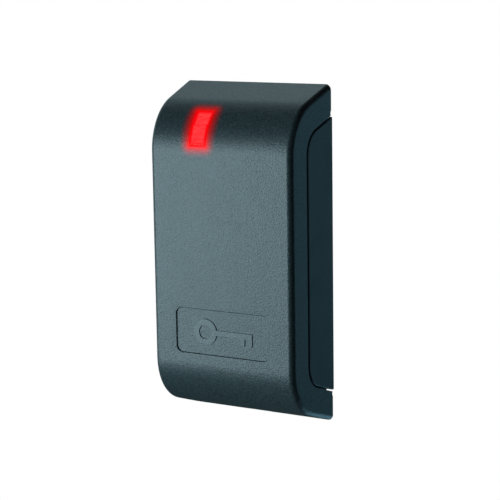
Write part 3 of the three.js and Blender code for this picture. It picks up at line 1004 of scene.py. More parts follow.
@dataclass(frozen=True)
class Form:
    """Side profile with sloping ends and round corners, and sides that lean in to the front."""

    half_height: float
    half_width: float
    depth: float
    edge_y: float
    front_width: float = 47.8
    slope: float = math.radians(19.1)
    corner: float = 16.3

    @classmethod
    def from_cover(cls) -> "Form":
        """Reads the form's sizes from the cover's box.

        Returns:
            The form.
        """
        extent = Extent.of("front_cover")
        slope = cls.slope
        edge = extent.high.y
        half_height = extent.high.z - edge * math.tan(slope)
        depth = -extent.low.y
        back = 2 * extent.high.x
        front = cls.front_width
        full = (back * depth + edge * front) / (depth + edge)
        return cls(half_height, full / 2, depth, edge)

    @property
    def arc_y(self) -> float:
        """y of the round corners' axes."""
        return self.corner - self.depth

    @property
    def arc_z(self) -> float:
        """Height of the upper round corner's axis."""
        return self.half_height + (self.arc_y * math.sin(self.slope) - self.corner) / math.cos(self.slope)

    @property
    def arc_end(self) -> float:
        """Angle above forward where the round corner meets the slope."""
        return math.pi / 2 - self.slope

    def lean_at(self, y: float) -> float:
        """Width at a distance from the wall, as a share of the width at the wall."""
        return 1 + (2 * self.half_width - self.front_width) / (2 * self.half_width * self.depth) * y

    def point(self, station: Station, inset: float) -> tuple[float, float]:
        """Place on the profile, set in from the outside.

        Args:
            station: where along the profile.
            inset: distance in from the outside.

        Returns:
            y and z.
        """
        radius = self.corner - inset
        if station.zone is Zone.FRONT:
            return inset - self.depth, station.value
        if station.zone is Zone.ARC:
            y = self.arc_y - radius * math.cos(station.value)
            z = self.arc_z + radius * math.sin(station.value)
            return y, station.up * z
        edge_y = station.value if station.zone is Zone.EDGE else self.edge_y
        y = edge_y
        z = self.half_height - inset / math.cos(self.slope) + y * math.tan(self.slope)
        if station.zone is Zone.SLOPE:
            end_y = self.arc_y - radius * math.cos(self.arc_end)
            end_z = self.arc_z + radius * math.sin(self.arc_end)
            y += (end_y - y) * station.value
            z += (end_z - z) * station.value
        return y, station.up * z


# ---------------------------------------------------------------------------
# Cover
# ---------------------------------------------------------------------------


@dataclass
class FrontCover:
    """The lift-off cover: a shell with side flanges, a light window and a sunk badge."""

    form: Form
    finishes: Finishes
    wall: float = 2.0
    flange: float = 8.6  # depth of the side flanges, from the outside
    edge_radius: float = 1.7
    inner_radius: float = 0.6
    window_gap: float = 0.2
    fillet_steps: int = 9
    bump_y: float = -16.0
    bump_z: float = 20.0
    bump_radius: float = 0.8
    bump_half: float = 3.0
    bump_inset: float = 0.55  # of the bump's middle, inside the flange
    badge_width: float = 31.9
    badge_height: float = 13.7
    badge_radius: float = 2.0
    badge_depth: float = 0.4
    badge_z: float = -21.92
    badge_margin: float = 1.6
    badge_lip: float = 0.14
    notch_radius: float = 1.2
    notch_y: float = 0.45
    notch_z: float = 42.38
    slot_half: float = 4.0
    slot_depth: float = 1.6
    edge_ease: float = 0.22
    bow_x: float = -5.9
    bow_radius: float = 4.0
    bow_hole: float = 2.1
    blade: float = 1.7
    tip_x: float = 10.2
    tooth: float = 3.0
    emblem_rise: float = 0.25

    def __post_init__(self) -> None:
        """Reads the window's place from the light pipe's node."""
        pipe = Extent.of("light_pipe")
        self.window_x = pipe.middle.x
        self.window_half = WINDOW_HALF + self.window_gap
        gap = self.window_gap / self.form.corner
        self.window_angles = (WINDOW_ANGLES[0] - gap, WINDOW_ANGLES[1] + gap)

    def stations(self) -> list[Station]:
        """Places along the profile where the shell has a row of faces.

        Returns:
            Stations from the upper back edge, over the front, to the lower back edge.
        """
        low, high = self.window_angles
        end = self.form.arc_end
        angles = [end + (high - end) * i / 7 for i in range(7)]
        angles += [high + (low - high) * i / 16 for i in range(16)]
        angles += [low * (1 - i / 4) for i in range(4)]
        arc = [Station(Zone.ARC, a) for a in angles]
        slope = [Station(Zone.EDGE, self.form.edge_y)] + [
            Station(Zone.SLOPE, t) for t in (0.2, 0.4, 0.6, 0.8)
        ]
        patch = (
            self.badge_z + self.badge_height / 2 + self.badge_margin,
            self.badge_z - self.badge_height / 2 - self.badge_margin,
        )
        top = self.form.arc_z
        heights = [top, 24.0, 16.0, 8.0, 0.0, -7.0, patch[0], patch[1], -top]
        front = [Station(Zone.FRONT, z) for z in heights]
        lower = [Station(s.zone, s.value, -1) for s in reversed(slope + arc)]
        return slope + arc + front + lower

    def section(self) -> list[tuple[tuple[float, float, bool], tuple[float, float, bool]]]:
        """The shell's cross-section as columns from the left flange to the right one.

        Returns:
            For each column, its outer and inner x, inset and whether it leans with the sides.
        """
        width = self.form.half_width
        right = []
        for share in (0.0, 0.25, 0.5, 0.75):
            outer = self.flange + (self.edge_radius - self.flange) * share
            inner = self.flange + (self.wall + self.inner_radius - self.flange) * share
            right.append(((width, outer, True), (width - self.wall, inner, True)))
        for i in range(self.fillet_steps + 1):
            turn = math.pi / 2 * i / self.fillet_steps
            c, s = 1 - math.cos(turn), 1 - math.sin(turn)
            outer = (width - self.edge_radius * c, self.edge_radius * s, True)
            inner = (width - self.wall - self.inner_radius * c, self.wall + self.inner_radius * s, True)
            right.append((outer, inner))
        patch = self.badge_width / 2 + self.badge_margin
        middle = [patch, 8.0, 0.0, self.window_x + self.window_half, self.window_x - self.window_half, -patch]
        flat = [((x, 0.0, False), (x, self.wall, False)) for x in middle]
        left = [((-o[0], o[1], o[2]), (-i[0], i[1], i[2])) for o, i in reversed(right)]
        return right + flat + left

    def shell(self) -> bmesh.types.BMesh:
        """The shell with its window and badge.

        Returns:
            A closed mesh.
        """
        bm = bmesh.new()
        stations = self.stations()
        section = self.section()
        grids: list[list[list[bmesh.types.BMVert]]] = []
        for layer in (0, 1):
            grid = []
            for station in stations:
                row = []
                for column in section:
                    x, inset, leans = column[layer]
                    y, z = self.form.point(station, inset)
                    row.append(bm.verts.new((x * self.form.lean_at(y) if leans else x, y, z)))
                grid.append(row)
            grids.append(grid)
        outer, inner = grids
        rows, columns = len(stations), len(section)
        xs = [column[0][0] for column in section]
        window_left = xs.index(self.window_x - self.window_half)
        window_right = xs.index(self.window_x + self.window_half)
        low, high = self.window_angles
        window_rows = [
            i
            for i, s in enumerate(stations)
            if s.zone is Zone.ARC and s.up > 0 and low - SLACK <= s.value <= high + SLACK
        ]
        patch = self.badge_width / 2 + self.badge_margin
        patch_right, patch_left = xs.index(patch), xs.index(-patch)
        patch_edge = self.badge_z + self.badge_height / 2 + self.badge_margin
        patch_top = next(
            i for i, s in enumerate(stations) if s.zone is Zone.FRONT and abs(s.value - patch_edge) < SLACK
        )
        for i in range(rows - 1):
            for j in range(columns - 1):
                in_window = window_rows[0] <= i < window_rows[-1] and window_right <= j < window_left
                if in_window:
                    continue
                if not (i == patch_top and patch_right <= j < patch_left):
                    bm.faces.new((outer[i][j], outer[i][j + 1], outer[i + 1][j + 1], outer[i + 1][j]))
                bm.faces.new((inner[i][j], inner[i + 1][j], inner[i + 1][j + 1], inner[i][j + 1]))
        for j in range(columns - 1):
            for i in (0, rows - 1):
                bm.faces.new((outer[i][j], outer[i][j + 1], inner[i][j + 1], inner[i][j]))
        for i in range(rows - 1):
            for j in (0, columns - 1):
                bm.faces.new((outer[i][j], outer[i + 1][j], inner[i + 1][j], inner[i][j]))
        first, last = window_rows[0], window_rows[-1]
        for i in range(first, last):
            for j in (window_right, window_left):
                bm.faces.new((outer[i][j], outer[i + 1][j], inner[i + 1][j], inner[i][j]))
        for j in range(window_right, window_left):
            for i in (first, last):
                bm.faces.new((outer[i][j], outer[i][j + 1], inner[i][j + 1], inner[i][j]))
        rim = [outer[patch_top][j] for j in range(patch_right, patch_left + 1)]
        rim += [outer[patch_top + 1][j] for j in range(patch_left, patch_right - 1, -1)]
        self.sink_badge(bm, rim)
        bmesh.ops.recalc_face_normals(bm, faces=bm.faces[:])
        return bm

    def sink_badge(self, bm: bmesh.types.BMesh, rim: list[bmesh.types.BMVert]) -> None:
        """Fills the front's gap with the sunk badge and its rounded lip.

        Args:
            bm: the shell.
            rim: vertices round the gap, in order.
        """
        front = -self.form.depth
        lip = self.badge_lip
        steps = [(lip, 0.0)]
        for i in (1, 2, 3):
            turn = math.pi / 2 * i / 3
            steps.append((lip * (1 - math.sin(turn)), lip * (1 - math.cos(turn))))
        steps += [(-0.02, self.badge_depth - lip)]
        for i in (1, 2, 3):
            turn = math.pi / 2 * i / 3
            steps.append((-0.02 - lip * (1 - math.cos(turn)), self.badge_depth - lip * (1 - math.sin(turn))))
        loops = []
        for outset, sink in steps:
            half_x = self.badge_width / 2 + outset
            half_z = self.badge_height / 2 + outset
            outline = rounded_outline(
                -half_x, self.badge_z - half_z, half_x, self.badge_z + half_z, self.badge_radius + outset
            )
            loops.append([bm.verts.new((x, front + sink, z)) for x, z in outline])
        for a, b in zip(loops, loops[1:]):
            for i in range(len(a)):
                j = (i + 1) % len(a)
                bm.faces.new((a[i], a[j], b[j], b[i]))
        bm.faces.new(loops[-1])
        edges = [bm.edges.get((a, b)) for a, b in zip(rim, rim[1:] + rim[:1])]
        edges += [bm.edges.get((a, b)) for a, b in zip(loops[0], loops[0][1:] + loops[0][:1])]
        bmesh.ops.triangle_fill(bm, use_beauty=True, edges=edges)

    def fittings(self) -> bmesh.types.BMesh:
        """What stands out inside the shell: the tamper boss and four click bumps.

        Returns:
            Closed shells.
        """
        plunger = Extent.of("tamper_plunger")
        inner_front = self.wall - self.form.depth
        boss_end = plunger.low.y - 0.3
        boss = MeshBench.lathe(
            [
                (0, boss_end),
                (2.2, boss_end),
                (2.4, boss_end - 0.2),
                (2.4, inner_front - 1),
                (0, inner_front - 1),
            ],
            plunger.middle.x,
            plunger.middle.z,
        )
        bumps = []
        for side in (-1, 1):
            for up in (-1, 1):
                flange = self.form.half_width * self.form.lean_at(self.bump_y) - self.wall
                x = side * (flange + self.bump_inset)
                ring = [
                    (x + self.bump_radius * math.cos(t), self.bump_y + self.bump_radius * math.sin(t))
                    for t in (2 * math.pi * k / 24 for k in range(24))
                ]
                ends = (up * self.bump_z - self.bump_half, up * self.bump_z + self.bump_half)
                bumps.append(MeshBench.loft([[(px, py, end) for px, py in ring] for end in ends]))
        return MeshBench.joined([boss, *bumps])

    def cutters(self) -> bmesh.types.BMesh:
        """What is cut from the shell: the prising slot and the round notches at the wall.

        Returns:
            Closed shells.
        """
        bottom = -self.form.half_height
        slot = MeshBench.box((-self.slot_half, -self.slot_depth, bottom - 4), (self.slot_half, 4, bottom + 8))
        notches = []
        for side in (-1, 1):
            for up in (-1, 1):
                ring = [
                    (
                        self.notch_y + self.notch_radius * math.cos(t),
                        up * self.notch_z + self.notch_radius * math.sin(t),
                    )
                    for t in (2 * math.pi * k / 32 for k in range(32))
                ]
                ends = (side * (self.form.half_width - 2.5), side * (self.form.half_width + 2.5))
                notches.append(MeshBench.loft([[(x, y, z) for y, z in ring] for x in ends]))
        return MeshBench.joined([slot, *notches])

    def emblem(self) -> bpy.types.Object:
        """The plain key pictogram that stands on the badge's floor.

        Returns:
            The object.
        """
        floor = self.badge_depth - self.form.depth
        back, front = floor + 0.3, floor - self.emblem_rise
        z = self.badge_z
        ring = MeshBench.lathe(
            [
                (self.bow_hole, back),
                (self.bow_radius, back),
                (self.bow_radius, front),
                (self.bow_hole, front),
            ],
            self.bow_x,
            z,
            64,
        )
        made = MeshBench.to_object("cover_emblem", ring)
        half = self.blade / 2
        blade = MeshBench.box(
            (self.bow_x + self.bow_hole + half, front, z - half), (self.tip_x, back, z + half)
        )
        MeshBench.cut(made, blade, "UNION")
        for step in (0.5, 2.0):
            x = self.tip_x - step * self.blade
            tooth = MeshBench.box((x - half, front, z - self.tooth), (x + half, back, z))
            MeshBench.cut(made, tooth, "UNION")
        return MeshBench.eased(made, 0.1, 3)

    def build(self) -> list[bpy.types.Object]:
        """Builds and dresses the cover.

        Returns:
            Its pieces.
        """
        cover = MeshBench.to_object("cover_shell", self.shell())
        MeshBench.cut(cover, self.fittings(), "UNION")
        MeshBench.cut(cover, self.cutters())
        MeshBench.eased(cover, self.edge_ease, 3)
        emblem = self.emblem()
        place(cover, Body.COVER, Slot.COVER, self.finishes.cover, "front_cover")
        place(emblem, Body.COVER, Slot.COVER, self.finishes.emblem)
        return [cover, emblem]


@dataclass
class LightPipe:
    """The red light guide that fills the cover's window."""

    form: Form
    half_width: float = WINDOW_HALF
    angles: tuple[float, float] = WINDOW_ANGLES
    flange: float = 1.0
    flange_thickness: float = 1.2
    gap: float = 0.3
    cover_wall: float = 2.0
    steps: int = 20

    def band(
        self, outer: float, inner: float, start: float, end: float, x: float, half: float
    ) -> bmesh.types.BMesh:
        """A stretch of round corner between two radii.

        Args:
            outer: outer radius.
            inner: inner radius.
            start: first angle above forward.
            end: last angle.
            x: middle across.
            half: half the width.

        Returns:
            A closed mesh.
        """
        loops = []
        for i in range(self.steps + 1):
            turn = start + (end - start) * i / self.steps
            y0, z0 = self.form.arc_y - outer * math.cos(turn), self.form.arc_z + outer * math.sin(turn)
            y1, z1 = self.form.arc_y - inner * math.cos(turn), self.form.arc_z + inner * math.sin(turn)
            loops.append([(x - half, y0, z0), (x + half, y0, z0), (x + half, y1, z1), (x - half, y1, z1)])
        return MeshBench.loft(loops)

    def build(self) -> list[bpy.types.Object]:
        """Builds and dresses the light guide.

        Returns:
            Its pieces.
        """
        x = Extent.of("light_pipe").middle.x
        outer = self.form.corner
        inner = outer - self.cover_wall - self.gap - self.flange_thickness
        spread = (self.gap + self.flange) / outer
        low, high = self.angles
        made = MeshBench.to_object("light_guide", self.band(outer, inner, low, high, x, self.half_width))
        rim = self.band(
            inner + self.flange_thickness,
            inner,
            low - spread,
            high + spread,
            x,
            self.half_width + self.gap + self.flange,
        )
        MeshBench.cut(made, rim, "UNION")
        MeshBench.eased(made, 0.2, 3)
        finish = LitPipe("lit_red_guide").material(
            self.form.arc_y, self.form.arc_z, x, self.half_width, low, high
        )
        place(made, Body.COVER, Slot.LIGHT, finish, "light_pipe")
        return [made]


# ---------------------------------------------------------------------------
# Placing
# ---------------------------------------------------------------------------


def place(
    obj: bpy.types.Object, body: Union[Body, str], slot: Slot, finish: bpy.types.Material, *replaced: str
) -> bpy.types.Object:
    """Dresses a finished piece and puts it on its body.

    Args:
        obj: the piece.
        body: CAD body that it rides on.
        slot: the record's material slot; not used.
        finish: its material.
        replaced: CAD nodes that it stands for.

    Returns:
        The piece.
    """
    if not any(s.material for s in obj.material_slots):
        obj.data.materials.clear()
        obj.data.materials.append(finish)
    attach(obj, body.value if isinstance(body, Body) else body)
    if replaced:
        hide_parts(*replaced)
    return obj


@dataclass
class BaseTray:
    """The tray on the wall, with side panels that show beside the cover's flanges."""

    finishes: Finishes

    def build(self) -> list[bpy.types.Object]:
        """Builds and dresses the tray.

        Returns:
            Its pieces.
        """
        tray = MeshBench.refined("base_housing", "base_tray", 0.1)
        place(tray, Body.BASE, Slot.BASE, self.finishes.base, "base_housing")
        return [tray]


# ---------------------------------------------------------------------------
# Geometry node patterns
# ---------------------------------------------------------------------------


class Pattern:
    """A geometry node tree with named inputs, which is run once on a piece and baked."""

    def __init__(self, name: str, inputs: dict[str, tuple[str, object]]) -> None:
        """Starts the tree.

        Args:
            name: of the tree.
            inputs: socket kind and default for each input, besides the geometry and the finish.
        """
        self.tree = bpy.data.node_groups.new(name, "GeometryNodeTree")
        interface = self.tree.interface
        interface.new_socket("Geometry", in_out="OUTPUT", socket_type="NodeSocketGeometry")
        interface.new_socket("Geometry", in_out="INPUT", socket_type="NodeSocketGeometry")
        self.sockets: dict[str, str] = {}
        for label, (kind, default) in {**inputs, "Finish": ("NodeSocketMaterial", None)}.items():
            made = interface.new_socket(label, in_out="INPUT", socket_type=kind)
            if default is not None:
                made.default_value = default
            self.sockets[label] = made.identifier
        self.wiring = Wiring(self.tree)
        self.source = self.wiring.node("NodeGroupInput").outputs
        self.sink = self.wiring.node("NodeGroupOutput").inputs

    def realized(self, geometry: Socket) -> Socket:
        """Turns instances into plain mesh."""
        return self.wiring.node("GeometryNodeRealizeInstances", {0: geometry}).outputs[0]

    def joined(self, *parts: Socket) -> Socket:
        """Puts several geometries together.

        Args:
            parts: the geometries.

        Returns:
            One geometry.
        """
        made = self.wiring.node("GeometryNodeJoinGeometry")
        for part in parts:
            self.tree.links.new(part, made.inputs[0])
        return made.outputs[0]

    def finish(self, geometry: Socket) -> "Pattern":
        """Ends the tree with plain mesh in its finish.

        Args:
            geometry: what the tree made.

        Returns:
            Itself.
        """
        dressed = self.wiring.node(
            "GeometryNodeSetMaterial",
            {"Geometry": self.realized(geometry), "Material": self.source["Finish"]},
        )
        self.wiring.feed(self.sink[0], dressed.outputs[0])
        return self

    def run(self, obj: bpy.types.Object, finish: bpy.types.Material, **values: object) -> bpy.types.Object:
        """Runs the tree on an object and bakes it.

        Args:
            obj: the object.
            finish: its material.
            values: inputs by name, with underscores for spaces.

        Returns:
            The same object.
        """
        step = obj.modifiers.new(self.tree.name, "NODES")
        step.node_group = self.tree
        for label, value in values.items():
            step[self.sockets[label.replace("_", " ")]] = value
        step[self.sockets["Finish"]] = finish
        return MeshBench.baked(obj)


class Patterns:
    """The reader's repeated shapes, each tree built once."""

    def __init__(self) -> None:
        """Builds the trees."""
        self.leg_rows = self._leg_rows()
        self.wound_turns = self._wound_turns(4)
        self.thread = self._thread()
        self.solder_domes = self._solder_domes()

    @staticmethod
    def _leg_rows() -> Pattern:
        """Rows of one leg along the sides of a chip.

        Returns:
            The pattern.
        """
        pattern = Pattern(
            "leg_rows",
            {
                "Count": ("NodeSocketInt", 4),
                "Pitch": ("NodeSocketFloat", 0.00127),
                "Sides": ("NodeSocketInt", 2),
                "Reach": ("NodeSocketFloat", 0.002),
                "Centre": ("NodeSocketVector", (0.0, 0.0, 0.0)),
            },
        )
        wiring, source = pattern.wiring, pattern.source
        spaces = wiring.math("SUBTRACT", source["Count"], 1.0)
        back = wiring.math("MULTIPLY", spaces, wiring.math("MULTIPLY", source["Pitch"], -0.5))
        start = wiring.node("ShaderNodeCombineXYZ", {"X": source["Reach"], "Z": back}).outputs[0]
        step = wiring.node("ShaderNodeCombineXYZ", {"Z": source["Pitch"]}).outputs[0]
        line = wiring.node(
            "GeometryNodeMeshLine", {"Count": source["Count"], "Start Location": start, "Offset": step}
        ).outputs["Mesh"]
        row = wiring.node(
            "GeometryNodeInstanceOnPoints", {"Points": line, "Instance": source["Geometry"]}
        ).outputs[0]
        places = wiring.node(
            "GeometryNodePoints", {"Count": source["Sides"], "Position": source["Centre"]}
        ).outputs[0]
        index = wiring.node("GeometryNodeInputIndex").outputs[0]
        turn = wiring.math("MULTIPLY", index, wiring.math("DIVIDE", 2 * math.pi, source["Sides"]))
        rotation = wiring.node("ShaderNodeCombineXYZ", {"Y": turn}).outputs[0]
        around = wiring.node(
            "GeometryNodeInstanceOnPoints",
            {"Points": places, "Instance": pattern.realized(row), "Rotation": rotation},
        )
        return pattern.finish(around.outputs[0])

    @staticmethod
    def _wound_turns(layers: int) -> Pattern:
        """Turns of wire round a rectangular former, layer over layer.

        Args:
            layers: of wire.

        Returns:
            The pattern.
        """
        pattern = Pattern(
            "wound_turns",
            {
                "Width": ("NodeSocketFloat", 0.039),
                "Height": ("NodeSocketFloat", 0.059),
                "Corner": ("NodeSocketFloat", 0.0045),
                "Wire": ("NodeSocketFloat", 0.00014),
                "Pitch": ("NodeSocketFloat", 0.0003),
                "Turns": ("NodeSocketInt", 4),
                "First": ("NodeSocketVector", (0.0, 0.0, 0.0)),
            },
        )
        wiring, source = pattern.wiring, pattern.source
        section = wiring.node(
            "GeometryNodeCurvePrimitiveCircle", {"Resolution": 8, "Radius": source["Wire"]}
        ).outputs[0]
        rings = []
        for layer in range(layers):
            inset = wiring.math("MULTIPLY", source["Pitch"], float(layer))
            both = wiring.math("MULTIPLY", inset, 2.0)
            loop = wiring.node(
                "GeometryNodeCurvePrimitiveQuadrilateral",
                {
                    "Width": wiring.math("SUBTRACT", source["Width"], both),
                    "Height": wiring.math("SUBTRACT", source["Height"], both),
                },
            ).outputs[0]
            rounded = wiring.node(
                "GeometryNodeFilletCurve",
                {"Curve": loop, "Radius": wiring.math("SUBTRACT", source["Corner"], inset), "Count": 7},
                mode="POLY",
            ).outputs[0]
            ring = wiring.node(
                "GeometryNodeCurveToMesh", {"Curve": rounded, "Profile Curve": section}
            ).outputs[0]
            rings.append(ring)
        upright = wiring.node(
            "GeometryNodeTransform", {"Geometry": pattern.joined(*rings), "Rotation": (math.pi / 2, 0.0, 0.0)}
        ).outputs[0]
        step = wiring.node("ShaderNodeCombineXYZ", {"Y": source["Pitch"]}).outputs[0]
        line = wiring.node(
            "GeometryNodeMeshLine",
            {"Count": source["Turns"], "Start Location": source["First"], "Offset": step},
        ).outputs["Mesh"]
        turns = wiring.node("GeometryNodeInstanceOnPoints", {"Points": line, "Instance": upright}).outputs[0]
        return pattern.finish(turns)

    @staticmethod
    def _thread() -> Pattern:
        """A helical ridge along a screw's shank, added to the screw.

        Returns:
            The pattern.
        """
        pattern = Pattern(
            "screw_thread",
            {
                "Turns": ("NodeSocketFloat", 6.0),
                "Radius": ("NodeSocketFloat", 0.001),
                "Ridge": ("NodeSocketFloat", 0.00015),
                "Length": ("NodeSocketFloat", 0.004),
                "Start": ("NodeSocketVector", (0.0, 0.0, 0.0)),
            },
        )
        wiring, source = pattern.wiring, pattern.source
        helix = wiring.node(
            "GeometryNodeCurveSpiral",
            {
                "Resolution": 18,
                "Rotations": source["Turns"],
                "Start Radius": source["Radius"],
                "End Radius": source["Radius"],
                "Height": source["Length"],
            },
        ).outputs[0]
        ridge = wiring.node(
            "GeometryNodeCurvePrimitiveCircle", {"Resolution": 4, "Radius": source["Ridge"]}
        ).outputs[0]
        swept = wiring.node(
            "GeometryNodeCurveToMesh", {"Curve": helix, "Profile Curve": ridge, "Fill Caps": True}
        ).outputs[0]
        laid = wiring.node(
            "GeometryNodeTransform",
            {"Geometry": swept, "Rotation": (-math.pi / 2, 0.0, 0.0), "Translation": source["Start"]},
        ).outputs[0]
        return pattern.finish(pattern.joined(source["Geometry"], laid))

    @staticmethod
    def _solder_domes() -> Pattern:
        """A low solder dome on each point of the input.

        Returns:
            The pattern.
        """
        pattern = Pattern(
            "solder_domes", {"Radius": ("NodeSocketFloat", 0.0006), "Rise": ("NodeSocketFloat", 0.6)}
        )
        wiring, source = pattern.wiring, pattern.source
        ball = wiring.node(
            "GeometryNodeMeshUVSphere", {"Segments": 12, "Rings": 6, "Radius": source["Radius"]}
        ).outputs["Mesh"]
        low = wiring.node("ShaderNodeCombineXYZ", {"X": 1.0, "Y": source["Rise"], "Z": 1.0}).outputs[0]
        domes = wiring.node(
            "GeometryNodeInstanceOnPoints", {"Points": source["Geometry"], "Instance": ball, "Scale": low}
        ).outputs[0]
        return pattern.finish(domes)


# ---------------------------------------------------------------------------
# Inside
# ---------------------------------------------------------------------------


@dataclass
class SlottedScrew:
    """A screw along Y with a low domed head, a slot and a rolled thread."""

    node: str
    finishes: Finishes
    patterns: Patterns
    head_height: float
    shank_radius: float
    pitch: float = 0.5
    slot_width: float = 0.6
    slot_depth: float = 0.7
    ridge: float = 0.14
    dome: float = 0.45  # height of the head's dome
    dome_steps: int = 6
    chamfer: float = 0.12
    tip: float = 0.5

    def build(self, body: Union[Body, str]) -> list[bpy.types.Object]:
        """Builds and dresses the screw.

        Args:
            body: CAD body that it rides on.

        Returns:
            Its piece.
        """
        extent = Extent.of(self.node)
        x, z = extent.middle.x, extent.middle.z
        top, end = extent.low.y, extent.high.y
        radius = extent.size.x / 2
        seat = top + self.head_height
        core = self.shank_radius - self.ridge
        angles = [math.pi / 2 * i / self.dome_steps for i in range(self.dome_steps + 1)]
        dome = [(radius * math.sin(t), top + self.dome * (1 - math.cos(t))) for t in angles]
        profile = [*dome, (radius, seat - self.chamfer), (radius - self.chamfer, seat), (core, seat)]
        profile += [(core, end - self.tip), (core * 0.6, end), (0, end)]
        made = MeshBench.to_object(f"{self.node}_fine", MeshBench.lathe(profile, x, z, 40))
        half = self.slot_width / 2
        slot = MeshBench.box(
            (x - radius - 1, top - 1, z - half), (x + radius + 1, top + self.slot_depth, z + half)
        )
        MeshBench.cut(made, slot)
        MeshBench.eased(made, 0.06, 2)
        length = end - seat - 1.0
        self.patterns.thread.run(
            made,
            self.finishes.steel,
            Turns=length / self.pitch,
            Radius=core * MM,
            Ridge=self.ridge * MM,
            Length=length * MM,
            Start=(x * MM, (seat + 0.4) * MM, z * MM),
        )
        return [place(made, body, Slot.STEEL, self.finishes.steel, self.node)]


@dataclass(frozen=True)
class Legs:
    """How a chip stands on its legs."""

    sides: int
    count: int
    pitch: float
    reach: float
    width: float


@dataclass
class Electronics:
    """The circuit board and everything soldered to it."""

    finishes: Finishes
    patterns: Patterns
    lead: float = 0.15  # thickness of a chip's leg
    stand_off: float = 0.12  # of a chip's case from the board
    draft: float = 0.12
    dimple_radius: float = 0.38
    dimple_depth: float = 0.1
    dimple_inset: float = 0.95
    can_sides: int = 56

    def __post_init__(self) -> None:
        """Reads where the board's front face lies."""
        self.board_front = Extent.of("circuit_board").low.y

    def chip(self, node: str, legs: Legs) -> list[bpy.types.Object]:
        """A moulded chip with a pin-one dimple, and its bent legs.

        Args:
            node: CAD node of the chip.
            legs: how it stands.

        Returns:
            Its body and its legs.
        """
        extent = Extent.of(node)
        low, high = extent.low.copy(), extent.high.copy()
        low.x += legs.reach
        high.x -= legs.reach
        if legs.sides == 4:
            low.z += legs.reach
            high.z -= legs.reach
        front, back = low.y, high.y - self.stand_off
        middle = (front + back) / 2
        loops = []
        for y, inset in ((back, self.draft), (middle, 0.0), (front, self.draft)):
            x0, x1, z0, z1 = low.x + inset, high.x - inset, low.z + inset, high.z - inset
            loops.append([(x0, y, z0), (x1, y, z0), (x1, y, z1), (x0, y, z1)])
        case = MeshBench.to_object(f"{node}_case", MeshBench.loft(loops))
        radius, floor = self.dimple_radius, front + self.dimple_depth
        dimple = MeshBench.lathe(
            [(0, front - 1), (radius, front - 1), (radius, floor), (0, floor)],
            low.x + self.dimple_inset,
            high.z - self.dimple_inset,
            24,
        )
        MeshBench.cut(case, dimple)
        MeshBench.eased(case, 0.07, 2)
        place(case, Body.BASE, Slot.EPOXY, self.finishes.epoxy, node)
        rise = middle - self.board_front
        bend = [(-0.1, rise), (0.25 * legs.reach, rise), (0.55 * legs.reach, 0.0), (legs.reach, 0.0)]
        outline = bend + [(x, y - self.lead) for x, y in reversed(bend)]
        half = legs.width / 2
        leg = MeshBench.loft([[(x, y, z) for x, y in outline] for z in (-half, half)])
        row = MeshBench.to_object(f"{node}_legs", leg)
        centre = extent.middle
        self.patterns.leg_rows.run(
            row,
            self.finishes.tin,
            Count=legs.count,
            Pitch=legs.pitch * MM,
            Sides=legs.sides,
            Reach=(extent.size.x / 2 - legs.reach) * MM,
            Centre=(centre.x * MM, self.board_front * MM, centre.z * MM),
        )
        place(row, Body.BASE, Slot.CAN, self.finishes.tin)
        return [case, row]

    def capped(
        self, node: str, finish: bpy.types.Material, slot: Slot, share: float
    ) -> list[bpy.types.Object]:
        """A small block between two metal ends.

        Args:
            node: CAD node of the block.
            finish: material of its middle.
            slot: the record's slot of the middle.
            share: part of the length that each end takes.

        Returns:
            The block and its ends.
        """
        extent = Extent.of(node)
        low, high = extent.low, extent.high
        long_axis = 0 if extent.size.x > extent.size.z else 2
        cap = extent.size[long_axis] * share
        inset = 0.05
        inner_low = Vector((low.x + inset, low.y + inset, low.z + inset))
        inner_high = Vector((high.x - inset, high.y - 0.02, high.z - inset))
        made = MeshBench.eased(
            MeshBench.to_object(f"{node}_block", MeshBench.box(inner_low, inner_high)), 0.08, 2
        )
        place(made, Body.BASE, slot, finish, node)
        ends = []
        for start in (low[long_axis], high[long_axis] - cap):
            a, b = low.copy(), high.copy()
            a[long_axis], b[long_axis] = start, start + cap
            ends.append(MeshBench.box(a, b))
        metal = MeshBench.eased(MeshBench.to_object(f"{node}_ends", MeshBench.joined(ends)), 0.08, 2)
        place(metal, Body.BASE, Slot.CAN, self.finishes.tin)
        return [made, metal]

    def regulator(self) -> list[bpy.types.Object]:
        """The voltage regulator: a moulded body, a wide metal tab above it and two legs below.

        Returns:
            Its pieces.
        """
        extent = Extent.of("voltage_regulator")
        low, high = extent.low, extent.high
        body = MeshBench.box((low.x, low.y, low.z + 1.2), (high.x, high.y - 0.5, high.z - 1.3))
        case = MeshBench.eased(MeshBench.to_object("voltage_regulator_case", body), 0.2, 3)
        place(case, Body.BASE, Slot.EPOXY, self.finishes.epoxy, "voltage_regulator")
        inset = 0.6
        tab = MeshBench.box(
            (low.x + inset, high.y - 0.55, low.z + 1.6), (high.x - inset, high.y - 0.05, high.z)
        )
        parts = [tab]
        for x in (low.x + 1.1, high.x - 1.1):
            parts.append(
                MeshBench.box((x - 0.4, high.y - 0.45, low.z), (x + 0.4, high.y - 0.05, low.z + 1.7))
            )
        metal = MeshBench.eased(
            MeshBench.to_object("voltage_regulator_tab", MeshBench.joined(parts)), 0.08, 2
        )
        place(metal, Body.BASE, Slot.CAN, self.finishes.tin)
        return [case, metal]

